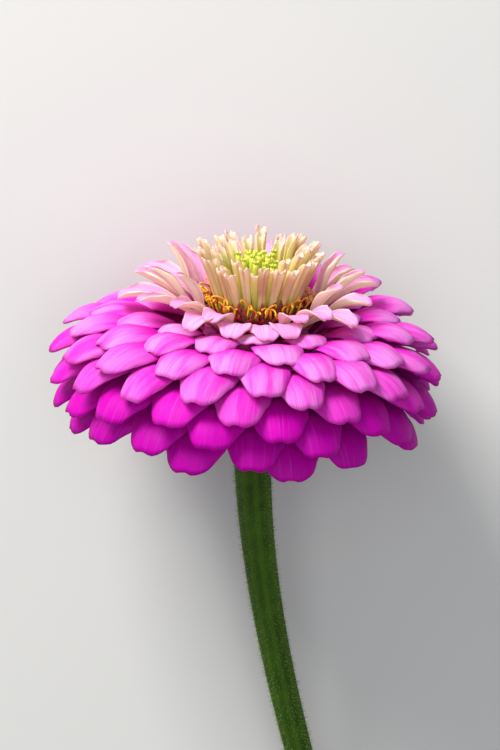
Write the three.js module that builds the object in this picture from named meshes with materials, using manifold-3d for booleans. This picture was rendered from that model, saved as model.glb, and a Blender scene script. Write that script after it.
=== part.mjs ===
// A cut zinnia, laid on its side: a full double flower head on a bare, gently curved stem.
// Millimetres, +Z up. The flower rests on a few of its rim petals and on the cut end of its stem.
//
// The head is drawn upright in its own frame: z comes out of the face, y points to the side that lies
// down, and the head's base, where the stem meets the green cup, is at z = 0. One group then tips that
// frame over. Every petal, bract and floret is placed by a counted rule round the head's axis, and what
// varies from one to the next comes from a seeded draw.
import * as THREE from "three";
import { mergeVertices } from "three/addons/utils/BufferGeometryUtils.js";
import Module from "manifold-3d";

const wasm = await Module();
wasm.setup();

// Driving dimensions of the lying flower.
const HEAD_LEAN = THREE.MathUtils.degToRad(17); // how far the face looks up from the level
const RIM_RADIUS = 39.9; // axis to the tips of the widest petals
const RIM_HEIGHT = 9.2; // of those tips over the head's base
const PRESSED = 2.2; // how far the rim's lowest petals are bent in where they lie on the surface
const FLATTENED = 0.12; // how deep the small flats are that those petals rest on
const PRESS_EASE = 0.8; // over what height the bend eases in
const CLEARANCE = 0.3; // between two pieces that touch on the real flower

// The core under the florets, from the green cup up to the flower's eye: heights over the base and radii.
const CUP_TOP = 3;
const RAY_CORE = {
  low: CUP_TOP + CLEARANCE,
  waist: CUP_TOP + CLEARANCE + 1.2,
  high: 18.4,
  baseRadius: 10.4,
  lowRadius: 14.8,
  highRadius: 10.4,
};
const HALF_CORE = { low: RAY_CORE.high + CLEARANCE, high: 21.8, lowRadius: 8.8, highRadius: 11.2 };
const HUB = { low: HALF_CORE.high + CLEARANCE, high: 24.6, radius: 8.3 };
const CHAFF_RING = {
  low: HALF_CORE.high + CLEARANCE,
  high: 23.3,
  inner: HUB.radius + CLEARANCE,
  outer: 10.3,
};
const EYE = { low: HUB.high + CLEARANCE, high: 29.4, radius: 4.7 };
const CORE_SEGMENTS = 20;
const RING_SEGMENTS = 20;
const EYE_SEGMENTS = 12;

// The stem.
const STEM_RADIUS = 2.85;
const STEM_NECK_RADIUS = 3.9; // just under the cup, where the stem swells
const STEM_TOP = -4.8;
const STEM_REACH = 112; // from the head's base to the cut end, along the head's axis
const STEM_SWAY = 23.5; // how far the cut end stands to the right of the head's axis
const END_PRESSED = 0.22; // how much of the cut end's edge is flat where it lies on the surface
const STEM_SIDES = 12;
const STEM_STEPS = 18;

// The petals.
const RAY_COUNT = 106;
const RAY_START = THREE.MathUtils.degToRad(8); // where the first petal stands round the axis
const LEFT_LONGER = 0.045; // how much longer the florets on the left are, and shorter on the right
const RAY_ROOT_ROLL = 0.5; // how far the margins of an open petal's root curve up, in radians
const RAY_TIP_ROLL = -0.85; // how far the margins of an open petal's tip curve down, in radians
// How far the corners of a floret's tip are drawn back, as a share of its length.
const RAY_ROUNDNESS = 0.18;
const HALF_ROUNDNESS = 0.14;
const BLADE_THICKNESS = 0.72;
const GOLDEN_ANGLE = Math.PI * (3 - Math.sqrt(5));
const SEED = 7;
const PRESSED_REACH = 1.5; // a petal whose tip would come this near to the surface is drawn finer
const SLIVER = 0.02; // what is narrower than this is smoothed away

// How the open petals change from the lowest to the innermost. Each line gives a petal's share of the way
// in, its tip's radius and height, the slopes of its tip and root in degrees, and its full width.
const RAY_GUIDE = [
  { share: 0.0, radius: 36.4, height: -1.6, tipSlope: -86, rootSlope: 14, width: 12.6 },
  { share: 0.13, radius: 38.2, height: 1.6, tipSlope: -82, rootSlope: 18, width: 12.6 },
  { share: 0.24, radius: 39.3, height: 5.0, tipSlope: -74, rootSlope: 22, width: 12.4 },
  { share: 0.38, radius: RIM_RADIUS, height: RIM_HEIGHT, tipSlope: -64, rootSlope: 26, width: 12.0 },
  { share: 0.52, radius: 39.4, height: 13.6, tipSlope: -53, rootSlope: 29, width: 11.4 },
  { share: 0.64, radius: 37.8, height: 16.6, tipSlope: -50, rootSlope: 31, width: 11.0 },
  { share: 0.76, radius: 34.2, height: 18.9, tipSlope: -46, rootSlope: 34, width: 10.6 },
  { share: 0.88, radius: 28.6, height: 20.4, tipSlope: -42, rootSlope: 38, width: 9.8 },
  { share: 1.0, radius: 20.0, height: 21.6, tipSlope: -36, rootSlope: 44, width: 8.2 },
];
// A few petals of one shoulder, low on the right as the flower lies, stand up from the rest.
const SHOULDER = {
  turn: THREE.MathUtils.degToRad(52),
  spread: 0.6,
  share: 0.74,
  depth: 0.16,
  lift: 6,
  slope: 16,
};
const RAY_ROOTS = { low: 4.8, high: 16.9, sunk: 0.7 };
// How much one open petal differs from the next, each way; lengths in mm, slopes in degrees.
const RAY_WANDER = { place: 0.5, slope: 7, width: 0.06, roll: 0.15, twist: 0.06 };

// The half-open florets, from the flattest to the steepest, in the same terms.
const HALF_COUNT = 30;
const HALF_ROOT_ROLL = 0.7;
const HALF_ROOTS = { low: 19.8, high: 20.4, sunk: 1.5 };
const HALF_GUIDE = [
  { share: 0.0, radius: 27.0, height: 25.2, tipSlope: -14, rootSlope: 32, width: 6.8, roll: 1.2 },
  { share: 0.45, radius: 24.6, height: 28.6, tipSlope: 12, rootSlope: 30, width: 5.8, roll: 1.7 },
  { share: 0.75, radius: 20.6, height: 32.4, tipSlope: 42, rootSlope: 32, width: 5.0, roll: 2.2 },
  { share: 1.0, radius: 17.4, height: 34.0, tipSlope: 61, rootSlope: 34, width: 4.6, roll: 2.6 },
];
// On the side that faces up the half-open florets are short and lie flat, so that the flower's eye shows.
const HALF_LOW = { radius: 20.0, height: 22.8, tipSlope: -62, rootSlope: 48, width: 5.4, roll: -0.3 };
const HALF_LOW_SPREAD = THREE.MathUtils.degToRad(46);
const HALF_WANDER = { place: 0.8, slope: 8, roll: 0.12, twist: 0.1 };
const FACING_UP = -Math.PI / 2;

// The rolled florets, in two rows, as slim tubes that widen to their mouths. The mouths of a row rise
// towards the side that lies down, and no two stand quite alike.
const TUBE_ROWS = [
  { radius: 7.4, mouth: 12.0, height: 34.5, rise: 0.6, count: 23 },
  { radius: 5.9, mouth: 9.2, height: 34.8, rise: 1.2, count: 16 },
];
const TUBE = {
  rootRadius: 0.62,
  mouthRadius: 0.96,
  wander: 0.8,
  uneven: 1.3,
  sides: 5,
  sunk: 1,
  dish: 1.1,
};

const SLIM_SIDES = 4; // of a bud or a scale
const STYLE_SIDES = 3;

// The buds of the eye: how far out the last one stands, and the heights of the tops from middle to rim.
const BUDS = {
  count: 20,
  spread: 4.0,
  middleTop: 34.1,
  rimTop: 33.2,
  uneven: 0.5,
  sizes: [0.42, 0.66, 0.3],
};
// The ring round the crown: dark scales, with one style in each space between them.
const SCALES = { count: 20, out: 9.8, top: 25.4, uneven: 0.4, sizes: [0.5, 0.54, 0.3] };
const STYLES = {
  foot: 9.5,
  knee: 9.9,
  kneeHeight: 26,
  reach: 11,
  reachHeight: 26.7,
  sizes: [0.44, 0.42, 0.4],
};
// The bracts, from the lowest and narrowest to the highest and widest.
const BRACTS = {
  count: 19,
  lowTip: -3.2,
  highTip: 2.7,
  length: 3.4,
  narrow: 4.4,
  wide: 5.6,
  sunk: 0.6,
  proud: 0.9,
  roundness: 0.3,
};

// A draw from -1 to 1 that is the same each run: channel tells apart the things drawn for one blade.
function draw(index, channel) {
  const raw = Math.sin((index + 1) * 12.9898 + (channel + SEED) * 78.233) * 43758.5453;
  return 2 * (raw - Math.floor(raw)) - 1;
}

function mix(a, b, share) {
  return a + (b - a) * share;
}

function smoothStep(low, high, x) {
  const t = Math.min(1, Math.max(0, (x - low) / (high - low)));
  return t * t * (3 - 2 * t);
}

// The turn from one direction to another, from minus to plus half a circle.
function angleBetween(turn, other) {
  return Math.atan2(Math.sin(turn - other), Math.cos(turn - other));
}

// The larger of two values, rounded off where they meet within reach.
function smoothMax(a, b, reach) {
  const h = Math.max(reach - Math.abs(a - b), 0) / reach;
  return Math.max(a, b) + (h * h * h * reach) / 6;
}

// A guide's values at a share, straight between its lines.
function guided(guide, share) {
  const next = Math.max(1, guide.findIndex((line) => line.share >= share));
  const [from, to] = [guide[next - 1], guide[next]];
  const t = (share - from.share) / (to.share - from.share);
  const line = {};
  for (const key of Object.keys(from)) line[key] = mix(from[key], to[key], t);
  return line;
}

// Where the surface that the flower lies on runs, in the head's frame.
const RISE = Math.sin(HEAD_LEAN);
const FALL = Math.cos(HEAD_LEAN);
const HEAD_HEIGHT = RIM_RADIUS * FALL - RIM_HEIGHT * RISE - PRESSED;
const UPWARDS = new THREE.Vector3(0, -FALL, RISE);

function heightOverSurface(point) {
  return HEAD_HEIGHT + point.dot(UPWARDS);
}

// Moves a point of a petal's middle layer up where the surface presses it in.
function pressed(point) {
  const least = BLADE_THICKNESS / 2 - FLATTENED;
  const height = heightOverSurface(point);
  return point.addScaledVector(UPWARDS, smoothMax(height, least, PRESS_EASE) - height);
}

// Geometry and solids.

function toSolid(geometry) {
  const plain = geometry.index ? geometry.toNonIndexed() : geometry.clone();
  const bare = new THREE.BufferGeometry().setAttribute("position", plain.getAttribute("position"));
  const merged = mergeVertices(bare, 1e-4);
  const mesh = new wasm.Mesh({
    numProp: 3,
    vertProperties: merged.attributes.position.array,
    triVerts: new Uint32Array(merged.index.array),
  });
  return new wasm.Manifold(mesh);
}

function toGeometry(solid) {
  const { numProp, numVert, vertProperties, triVerts } = solid.getMesh();
  const positions = new Float32Array(numVert * 3);
  for (let i = 0; i < numVert; i++) {
    positions.set(vertProperties.subarray(i * numProp, i * numProp + 3), i * 3);
  }
  const geometry = new THREE.BufferGeometry();
  geometry.setAttribute("position", new THREE.BufferAttribute(positions, 3));
  geometry.setIndex(new THREE.BufferAttribute(triVerts, 1));
  geometry.computeVertexNormals();
  return geometry;
}

function joined(solids) {
  return solids.reduce((whole, solid) => whole.add(solid));
}

// The outermost skin of a solid alone, so that pockets closed in between overlapping leaves are filled, and
// without the slivers that the joins leave.
function finished(solid) {
  const skins = solid.asOriginal().simplify(SLIVER).decompose();
  return skins.reduce((most, skin) => (skin.volume() > most.volume() ? skin : most));
}

// A closed skin over rings of points, each ring going round the same way, with flat ends.
function skinOver(rings) {
  const sides = rings[0].length;
  const positions = rings.flat().flatMap((point) => point.toArray());
  const faces = [];
  for (let row = 0; row + 1 < rings.length; row++) {
    for (let side = 0; side < sides; side++) {
      const a = row * sides + side;
      const b = row * sides + ((side + 1) % sides);
      faces.push(a, b, b + sides, a, b + sides, a + sides);
    }
  }
  const last = (rings.length - 1) * sides;
  for (let side = 1; side + 1 < sides; side++) {
    faces.push(0, side + 1, side, last, last + side, last + side + 1);
  }
  const geometry = new THREE.BufferGeometry();
  geometry.setAttribute("position", new THREE.Float32BufferAttribute(positions, 3));
  geometry.setIndex(faces);
  return geometry;
}

// A solid of revolution round the head's axis, from a profile of [radius, height] that goes round counter-
// clockwise with the radius to the right.
function turned(profile, segments) {
  const points = profile.map(([radius, height]) => new THREE.Vector2(radius, height));
  points.push(points[0].clone());
  return toSolid(new THREE.LatheGeometry(points, segments).rotateX(Math.PI / 2));
}

// Blades: petals, bracts and other flat or rolled leaves, all grown by one rule.

// A blade's midrib runs in the plane through the head's axis, along a cubic curve from root to tip.
function midrib(blade, share) {
  const spread = Math.hypot(blade.tip.radius - blade.root.radius, blade.tip.height - blade.root.height);
  const arm = 0.38 * spread;
  const out = THREE.MathUtils.degToRad(blade.root.slope);
  const over = THREE.MathUtils.degToRad(blade.tip.slope);
  const curve = new THREE.CubicBezierCurve(
    new THREE.Vector2(blade.root.radius, blade.root.height),
    new THREE.Vector2(blade.root.radius + arm * Math.cos(out), blade.root.height + arm * Math.sin(out)),
    new THREE.Vector2(blade.tip.radius - arm * Math.cos(over), blade.tip.height - arm * Math.sin(over)),
    new THREE.Vector2(blade.tip.radius, blade.tip.height),
  );
  return { place: curve.getPoint(share), heading: curve.getTangent(share) };
}

// A point of a blade's middle layer: across runs from -1 to 1 and along from 0 at the root to 1 at the tip.
function bladePoint(blade, across, along) {
  const share = along * (1 - blade.roundness * Math.abs(across) ** 3 * along ** 3);
  const { place, heading } = midrib(blade, share);
  const half = (blade.width / 2) * blade.outline(along);
  const roll = mix(blade.rootRoll, blade.tipRoll, along);
  const aside = (half * Math.sin(across * roll)) / roll;
  const lift = (half * (1 - Math.cos(across * roll))) / roll + blade.twist * across * along * half;
  const radius = place.x - heading.y * lift;
  const height = place.y + heading.x * lift;
  const [c, s] = [Math.cos(blade.turn), Math.sin(blade.turn)];
  return new THREE.Vector3(radius * c - aside * s, radius * s + aside * c, height);
}

// A closed blade: the middle layer, moved half a thickness each way along its own normal.
function bladeSolid(blade, columns, rows, settle = (point) => point) {
  const layer = (across, along) => settle(bladePoint(blade, across, along));
  const step = 0.004;
  const [upper, lower] = [[], []];
  for (const along of rows) {
    for (const across of columns) {
      const middle = layer(across, along);
      const right = layer(across + step, along).sub(layer(across - step, along));
      const ahead = layer(across, Math.min(1, along + step)).sub(layer(across, Math.max(0, along - step)));
      const normal = right.cross(ahead).normalize();
      const half = blade.thickness / 2;
      upper.push(middle.clone().addScaledVector(normal, half));
      lower.push(middle.clone().addScaledVector(normal, -half));
    }
  }
  const wide = columns.length;
  const long = rows.length;
  const under = wide * long;
  const faces = [];
  for (let row = 0; row + 1 < long; row++) {
    for (let column = 0; column + 1 < wide; column++) {
      const a = row * wide + column;
      const b = a + 1;
      const [c, d] = [b + wide, a + wide];
      faces.push(a, b, c, a, c, d);
      faces.push(under + a, under + c, under + b, under + a, under + d, under + c);
    }
  }
  const edge = [];
  for (let column = 0; column + 1 < wide; column++) edge.push(column);
  for (let row = 0; row + 1 < long; row++) edge.push(row * wide + wide - 1);
  for (let column = wide - 1; column > 0; column--) edge.push((long - 1) * wide + column);
  for (let row = long - 1; row > 0; row--) edge.push(row * wide);
  edge.forEach((a, i) => {
    const b = edge[(i + 1) % edge.length];
    faces.push(a, under + b, b, a, under + a, under + b);
  });
  const geometry = new THREE.BufferGeometry();
  const positions = [...upper, ...lower].flatMap((point) => point.toArray());
  geometry.setAttribute("position", new THREE.Float32BufferAttribute(positions, 3));
  geometry.setIndex(faces);
  return toSolid(geometry);
}

// A petal's width along its length: a narrow claw that opens to a broad blade with a narrower end.
function clawed(along, { width, end, fullFrom, narrowFrom, narrowing }) {
  const opening = mix(width, 1, smoothStep(end, fullFrom, along));
  return opening * (1 - narrowing * smoothStep(narrowFrom, 1, along));
}

function petalOutline(along) {
  return clawed(along, { width: 0.14, end: 0.18, fullFrom: 0.56, narrowFrom: 0.8, narrowing: 0.12 });
}

// The stem.

function stemSolid() {
  const levelHeight = HEAD_HEIGHT - STEM_REACH * RISE; // of the cut end's middle, if the stem didn't bend
  const drop = (levelHeight - STEM_RADIUS * FALL + END_PRESSED) / FALL;
  const route = new THREE.CubicBezierCurve3(
    new THREE.Vector3(0, 0, STEM_TOP),
    new THREE.Vector3(0.04 * STEM_SWAY, 0, -0.36 * STEM_REACH),
    new THREE.Vector3(0.52 * STEM_SWAY, 0, -0.68 * STEM_REACH),
    new THREE.Vector3(STEM_SWAY, drop, -STEM_REACH),
  );
  const frames = route.computeFrenetFrames(STEM_STEPS, false);
  const rings = [];
  for (let step = 0; step <= STEM_STEPS; step++) {
    const share = step / STEM_STEPS;
    const radius = mix(STEM_NECK_RADIUS, STEM_RADIUS, smoothStep(0.02, 0.36, share));
    const middle = route.getPointAt(share);
    const ring = [];
    for (let side = 0; side < STEM_SIDES; side++) {
      const angle = (side / STEM_SIDES) * 2 * Math.PI;
      const out = frames.normals[step]
        .clone()
        .multiplyScalar(Math.cos(angle))
        .addScaledVector(frames.binormals[step], Math.sin(angle));
      ring.push(middle.clone().addScaledVector(out, radius));
    }
    rings.push(ring);
  }
  return toSolid(skinOver(rings)).subtract(belowSurface());
}

// The block of space under the surface, in the head's frame.
function belowSurface() {
  const size = 400;
  const block = new THREE.BoxGeometry(size, size, size).translate(0, 0, -size / 2);
  block.applyMatrix4(headPlacement().invert());
  return toSolid(block);
}

// The green cup: a bowl that the stem stands in, clothed in bracts that overlap like tiles.

const CUP_SEGMENTS = 16;
const SOCKET = { radius: STEM_NECK_RADIUS + 1.4 * CLEARANCE, ceiling: STEM_TOP + CLEARANCE, mouth: -6.2 };
const CUP_WALL = [
  [5.2, SOCKET.mouth],
  [7.6, -4.4],
  [9.2, -1.4],
  [10.2, CUP_TOP],
];

// The cup's radius at a height.
function cupRadius(height) {
  const next = Math.max(1, CUP_WALL.findIndex((point) => point[1] >= height));
  const [from, to] = [CUP_WALL[next - 1], CUP_WALL[next]];
  return mix(from[0], to[0], (height - from[1]) / (to[1] - from[1]));
}

function bractOutline(along) {
  return Math.sin(Math.PI * mix(0.3, 0.8, along));
}

function cupSolid() {
  const { radius, ceiling, mouth } = SOCKET;
  const hollow = [[0, CUP_TOP], [0, ceiling], [radius, ceiling], [radius, mouth]];
  const solids = [turned([...hollow, ...CUP_WALL], CUP_SEGMENTS)];
  for (let i = 0; i < BRACTS.count; i++) {
    const share = i / (BRACTS.count - 1);
    const tipHeight = mix(BRACTS.lowTip, BRACTS.highTip, share);
    const rootHeight = Math.max(tipHeight - BRACTS.length, mouth + BRACTS.sunk);
    solids.push(
      bladeSolid(
        {
          turn: i * GOLDEN_ANGLE,
          root: {
            radius: cupRadius(rootHeight) - BRACTS.sunk,
            height: rootHeight,
            slope: mix(30, 66, share),
          },
          tip: {
            radius: cupRadius(tipHeight) + BRACTS.proud,
            height: tipHeight,
            slope: mix(64, 70, share),
          },
          width: mix(BRACTS.narrow, BRACTS.wide, share),
          roundness: BRACTS.roundness,
          rootRoll: 0.5,
          tipRoll: 0.45,
          twist: 0,
          thickness: BLADE_THICKNESS,
          outline: bractOutline,
        },
        [-1, 0, 1],
        [0, 0.5, 1],
      ),
    );
  }
  return joined(solids);
}

// The open petals, in one golden-angle spiral from the lowest up, on the core that they grow from.

function rayBlade(index) {
  const share = index / (RAY_COUNT - 1);
  const line = guided(RAY_GUIDE, share);
  const turn = RAY_START + index * GOLDEN_ANGLE;
  const aside = angleBetween(turn, SHOULDER.turn) / SHOULDER.spread;
  const stand = Math.exp(-(aside ** 2) - ((share - SHOULDER.share) / SHOULDER.depth) ** 2);
  return {
    turn,
    root: {
      radius: mix(RAY_CORE.lowRadius, RAY_CORE.highRadius, share) - RAY_ROOTS.sunk,
      height: mix(RAY_ROOTS.low, RAY_ROOTS.high, share),
      slope: line.rootSlope,
    },
    tip: {
      radius: line.radius * (1 - LEFT_LONGER * Math.cos(turn)) + RAY_WANDER.place * draw(index, 1),
      height: line.height + RAY_WANDER.place * draw(index, 2) + SHOULDER.lift * stand,
      slope: line.tipSlope + RAY_WANDER.slope * draw(index, 3) + SHOULDER.slope * stand,
    },
    width: line.width * (1 + RAY_WANDER.width * draw(index, 4)),
    roundness: RAY_ROUNDNESS,
    rootRoll: RAY_ROOT_ROLL,
    tipRoll: RAY_TIP_ROLL + RAY_WANDER.roll * draw(index, 5),
    twist: RAY_WANDER.twist * draw(index, 6),
    thickness: BLADE_THICKNESS,
    outline: petalOutline,
  };
}

const RAY_COLUMNS = [-1, -0.36, 0.36, 1];
const RAY_ROWS = [0, 0.4, 0.74, 1];
const PRESSED_ROWS = [0, 0.4, 0.62, 0.76, 0.88, 1];

function raySolid() {
  const { low, waist, high, baseRadius, lowRadius, highRadius } = RAY_CORE;
  const profile = [[0, low], [baseRadius, low], [lowRadius, waist], [highRadius, high], [0, high]];
  const solids = [turned(profile, CORE_SEGMENTS)];
  for (let i = 0; i < RAY_COUNT; i++) {
    const blade = rayBlade(i);
    const tip = bladePoint(blade, 0, 1);
    const rows = heightOverSurface(tip) < PRESSED_REACH ? PRESSED_ROWS : RAY_ROWS;
    solids.push(bladeSolid(blade, RAY_COLUMNS, rows, pressed));
  }
  return joined(solids).subtract(belowSurface());
}

// The half-open florets: still folded lengthwise, so their pale backs show.

function halfBlade(index) {
  const share = index / (HALF_COUNT - 1);
  const turn = RAY_START + (RAY_COUNT + index) * GOLDEN_ANGLE;
  const aside = angleBetween(turn, FACING_UP);
  const low = Math.exp(-((aside / HALF_LOW_SPREAD) ** 2));
  const line = guided(HALF_GUIDE, share);
  const loose = 1 - low;
  for (const key of Object.keys(HALF_LOW)) line[key] = mix(line[key], HALF_LOW[key], low);
  return {
    turn,
    root: {
      radius: HALF_CORE.highRadius - HALF_ROOTS.sunk,
      height: mix(HALF_ROOTS.low, HALF_ROOTS.high, share),
      slope: line.rootSlope,
    },
    tip: {
      radius: line.radius * (1 - LEFT_LONGER * Math.cos(turn)) + HALF_WANDER.place * loose * draw(index, 7),
      height: line.height + HALF_WANDER.place * loose * draw(index, 8),
      slope: line.tipSlope + HALF_WANDER.slope * loose * draw(index, 9),
    },
    width: line.width,
    roundness: HALF_ROUNDNESS,
    rootRoll: HALF_ROOT_ROLL,
    tipRoll: line.roll + HALF_WANDER.roll * draw(index, 10),
    twist: HALF_WANDER.twist * draw(index, 11),
    thickness: BLADE_THICKNESS,
    outline: halfOutline,
  };
}

function halfOutline(along) {
  return clawed(along, { width: 0.2, end: 0.1, fullFrom: 0.7, narrowFrom: 0.76, narrowing: 0.22 });
}

function halfSolid() {
  const { low, high, lowRadius, highRadius } = HALF_CORE;
  const solids = [turned([[0, low], [lowRadius, low], [highRadius, high], [0, high]], CORE_SEGMENTS)];
  for (let i = 0; i < HALF_COUNT; i++) {
    solids.push(bladeSolid(halfBlade(i), [-1, -0.36, 0.36, 1], [0, 0.4, 0.75, 1]));
  }
  return joined(solids);
}

// The rolled florets: a crown of slim tubes on a hub, each with a dished mouth.

function tubeSolid(row, rowIndex, index) {
  const evenTurn = RAY_START + ((index + 0.5 * rowIndex) / row.count) * 2 * Math.PI;
  const turn = evenTurn + 0.05 * draw(index, 12 + rowIndex);
  const mouth = row.mouth + TUBE.wander * draw(index, 14 + rowIndex);
  const top = row.height + row.rise * Math.sin(turn) + TUBE.uneven * draw(index, 16 + rowIndex);
  const root = HUB.high - TUBE.sunk;
  const outward = new THREE.Vector3(Math.cos(turn), Math.sin(turn), 0);
  const sideways = new THREE.Vector3(-Math.sin(turn), Math.cos(turn), 0);
  const stations = [
    { radius: row.radius, height: root, size: TUBE.rootRadius },
    { radius: mouth, height: top, size: TUBE.mouthRadius },
    { radius: mouth - 0.2, height: top - TUBE.dish, size: 0.45 * TUBE.mouthRadius },
  ];
  const rings = stations.map(({ radius, height, size }) => {
    const ring = [];
    for (let side = 0; side < TUBE.sides; side++) {
      const angle = ((side + 0.5) / TUBE.sides) * 2 * Math.PI;
      const point = outward.clone().multiplyScalar(radius + size * Math.cos(angle));
      point.addScaledVector(sideways, size * Math.sin(angle));
      point.z = height;
      ring.push(point);
    }
    return ring;
  });
  return toSolid(skinOver(rings));
}

function crownSolid() {
  const { low, high, radius } = HUB;
  const solids = [turned([[0, low], [radius, low], [radius, high], [0, high]], RING_SEGMENTS)];
  TUBE_ROWS.forEach((row, rowIndex) => {
    for (let i = 0; i < row.count; i++) solids.push(tubeSolid(row, rowIndex, i));
  });
  return joined(solids);
}

// A slim body along a list of points, with a half width for each, ending in a point if the last is zero.
function spindle(points, sizes, sides) {
  const route = new THREE.CatmullRomCurve3(points);
  const steps = sizes.length - 1;
  const frames = route.computeFrenetFrames(steps, false);
  const rings = sizes.map((size, step) => {
    const middle = route.getPoint(step / steps);
    return Array.from({ length: sides }, (_, side) => {
      const angle = (side / sides) * 2 * Math.PI;
      return middle
        .clone()
        .addScaledVector(frames.normals[step], size * Math.cos(angle))
        .addScaledVector(frames.binormals[step], size * Math.sin(angle));
    });
  });
  return toSolid(skinOver(rings));
}

function polar(radius, turn, height) {
  return new THREE.Vector3(radius * Math.cos(turn), radius * Math.sin(turn), height);
}

// The eye: a low dome of closed, upright buds.

function eyeSolid() {
  const { low, high, radius } = EYE;
  const shoulder = [0.9 * radius, mix(low, high, 0.5)];
  const profile = [[0, low], [radius, low], shoulder, [0.5 * radius, high], [0, high]];
  const solids = [turned(profile, EYE_SEGMENTS)];
  for (let i = 0; i < BUDS.count; i++) {
    const share = Math.sqrt((i + 0.5) / BUDS.count);
    const out = BUDS.spread * share;
    const turn = i * GOLDEN_ANGLE;
    const root = mix(high - 0.6, low + 1.6, share ** 3);
    const top = mix(BUDS.middleTop, BUDS.rimTop, share) + BUDS.uneven * draw(i, 20);
    const belly = polar(1.02 * out, turn, mix(root, top, 0.6));
    const points = [polar(out, turn, root), belly, polar(1.08 * out, turn, top)];
    solids.push(spindle(points, BUDS.sizes, SLIM_SIDES));
  }
  return joined(solids);
}

// Chaff and styles: dark pointed scales in a ring round the crown, with the thin forked styles between.

function chaffSolid() {
  const { low, high, inner, outer } = CHAFF_RING;
  const solids = [turned([[inner, low], [outer, low], [outer - 0.3, high], [inner, high]], RING_SEGMENTS)];
  const foot = high - 0.4;
  for (let i = 0; i < SCALES.count; i++) {
    const turn = (i / SCALES.count) * 2 * Math.PI + 0.03 * draw(i, 21);
    const out = SCALES.out + 0.2 * draw(i, 22);
    const top = SCALES.top + SCALES.uneven * draw(i, 23);
    const middle = polar(out, turn, mix(high, top, 0.5));
    const scale = [polar(out, turn, foot), middle, polar(out - 0.1, turn, top)];
    solids.push(spindle(scale, SCALES.sizes, SLIM_SIDES));
    const styleTurn = ((i + 0.5) / SCALES.count) * 2 * Math.PI;
    const lean = 0.04 * draw(i, 25);
    const reach = STYLES.reach + 0.8 * Math.abs(draw(i, 26));
    const style = [
      polar(STYLES.foot, styleTurn, foot),
      polar(STYLES.knee, styleTurn + lean, STYLES.kneeHeight),
      polar(reach, styleTurn + 2 * lean, STYLES.reachHeight),
    ];
    solids.push(spindle(style, STYLES.sizes, STYLE_SIDES));
  }
  return joined(solids);
}

// The finished flower.

function headPlacement() {
  const turn = new THREE.Matrix4().makeRotationX(HEAD_LEAN - Math.PI / 2);
  return turn.setPosition(0, 0, HEAD_HEIGHT);
}

function piece(name, solid, colour, roughness) {
  const material = new THREE.MeshStandardMaterial({ color: colour, roughness, metalness: 0 });
  const mesh = new THREE.Mesh(toGeometry(finished(solid)), material);
  mesh.name = name;
  return mesh;
}

const flower = new THREE.Group();
flower.rotation.x = HEAD_LEAN - Math.PI / 2;
flower.position.z = HEAD_HEIGHT;
flower.add(
  piece("stem", stemSolid(), "#4d7326", 0.6),
  piece("bract_cup", cupSolid(), "#5f8a36", 0.65),
  piece("open_petals", raySolid(), "#d816c4", 0.5),
  piece("half_open_florets", halfSolid(), "#efb4d6", 0.55),
  piece("rolled_florets", crownSolid(), "#ecd0bd", 0.55),
  piece("chaff_and_styles", chaffSolid(), "#8a2418", 0.7),
  piece("eye_buds", eyeSolid(), "#cfdc3a", 0.55),
);

// The middle of the flower's outline on the surface is the origin.
const middle = new THREE.Box3().setFromObject(flower, true).getCenter(new THREE.Vector3());
flower.position.x = -middle.x;
flower.position.y = -middle.y;

const part = new THREE.Group();
part.add(flower);
export default part;
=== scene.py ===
# %% [markdown]
# A cut zinnia, laid on its side on a pale surface. The solid model gives the flower's sizes and its
# place; this script dresses it with petals, florets, styles and hairs that are fine enough to look
# alive. Nearly all of a zinnia is one shape that changes little by little: a petal. So the script holds
# one rule for a blade and one for a strand, and each part of the flower is a list of seeds for them.

from math import atan2, cos, degrees, exp, floor, hypot, pi, radians, sin, sqrt

import bpy
from mathutils import Matrix, Vector


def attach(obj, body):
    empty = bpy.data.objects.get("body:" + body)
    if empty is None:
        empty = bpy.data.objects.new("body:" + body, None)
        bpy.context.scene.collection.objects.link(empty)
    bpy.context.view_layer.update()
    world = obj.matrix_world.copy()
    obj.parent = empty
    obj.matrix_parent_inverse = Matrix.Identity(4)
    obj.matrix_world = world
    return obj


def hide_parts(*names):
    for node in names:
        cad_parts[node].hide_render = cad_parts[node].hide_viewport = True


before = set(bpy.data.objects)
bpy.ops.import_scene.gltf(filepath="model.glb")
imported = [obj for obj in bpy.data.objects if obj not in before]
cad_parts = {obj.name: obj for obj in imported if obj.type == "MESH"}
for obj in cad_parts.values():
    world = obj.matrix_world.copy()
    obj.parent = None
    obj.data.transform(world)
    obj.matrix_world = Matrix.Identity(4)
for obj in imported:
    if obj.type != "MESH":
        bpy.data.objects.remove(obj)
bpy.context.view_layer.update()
print("solids:", ", ".join(sorted(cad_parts)))

# %% [markdown]
# The head is drawn upright, in its own frame, where flowers are easy to think about: the axis goes up
# through the face, and every floret has a radius, a height and a turn round the axis. One placement then
# tips that frame over. The surface presses the lowest petals in, as it does to a real bloom.

# %% Where the head lies
MM = 0.001
HEAD_LEAN = radians(17)  # how far the face looks up from the level
RIM_RADIUS = 39.9
RIM_HEIGHT = 9.2
PRESSED = 2.2
HEAD_HEIGHT = RIM_RADIUS * cos(HEAD_LEAN) - RIM_HEIGHT * sin(HEAD_LEAN) - PRESSED
HEAD_BASE = Vector((2.007, 35.140, HEAD_HEIGHT)) * MM  # where the stem meets the green cup
LAID_DOWN = Matrix.Translation(HEAD_BASE) @ Matrix.Rotation(HEAD_LEAN - pi / 2, 4, "X")
GOLDEN_ANGLE = pi * (3 - sqrt(5))
UPWARD = Vector((0, 0, 1))
SEED = 7
SCATTER = (12.9898, 78.233, 43758.5453)  # uneven factors, so that sines of whole numbers look random
print("head's base at", [round(x / MM, 2) for x in HEAD_BASE], "mm")

# %% [markdown]
# A few small sums serve the whole flower. A draw is worked out from a floret's index, so it looks random
# and still comes out the same each run. Colours are given as a screen names them.


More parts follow.
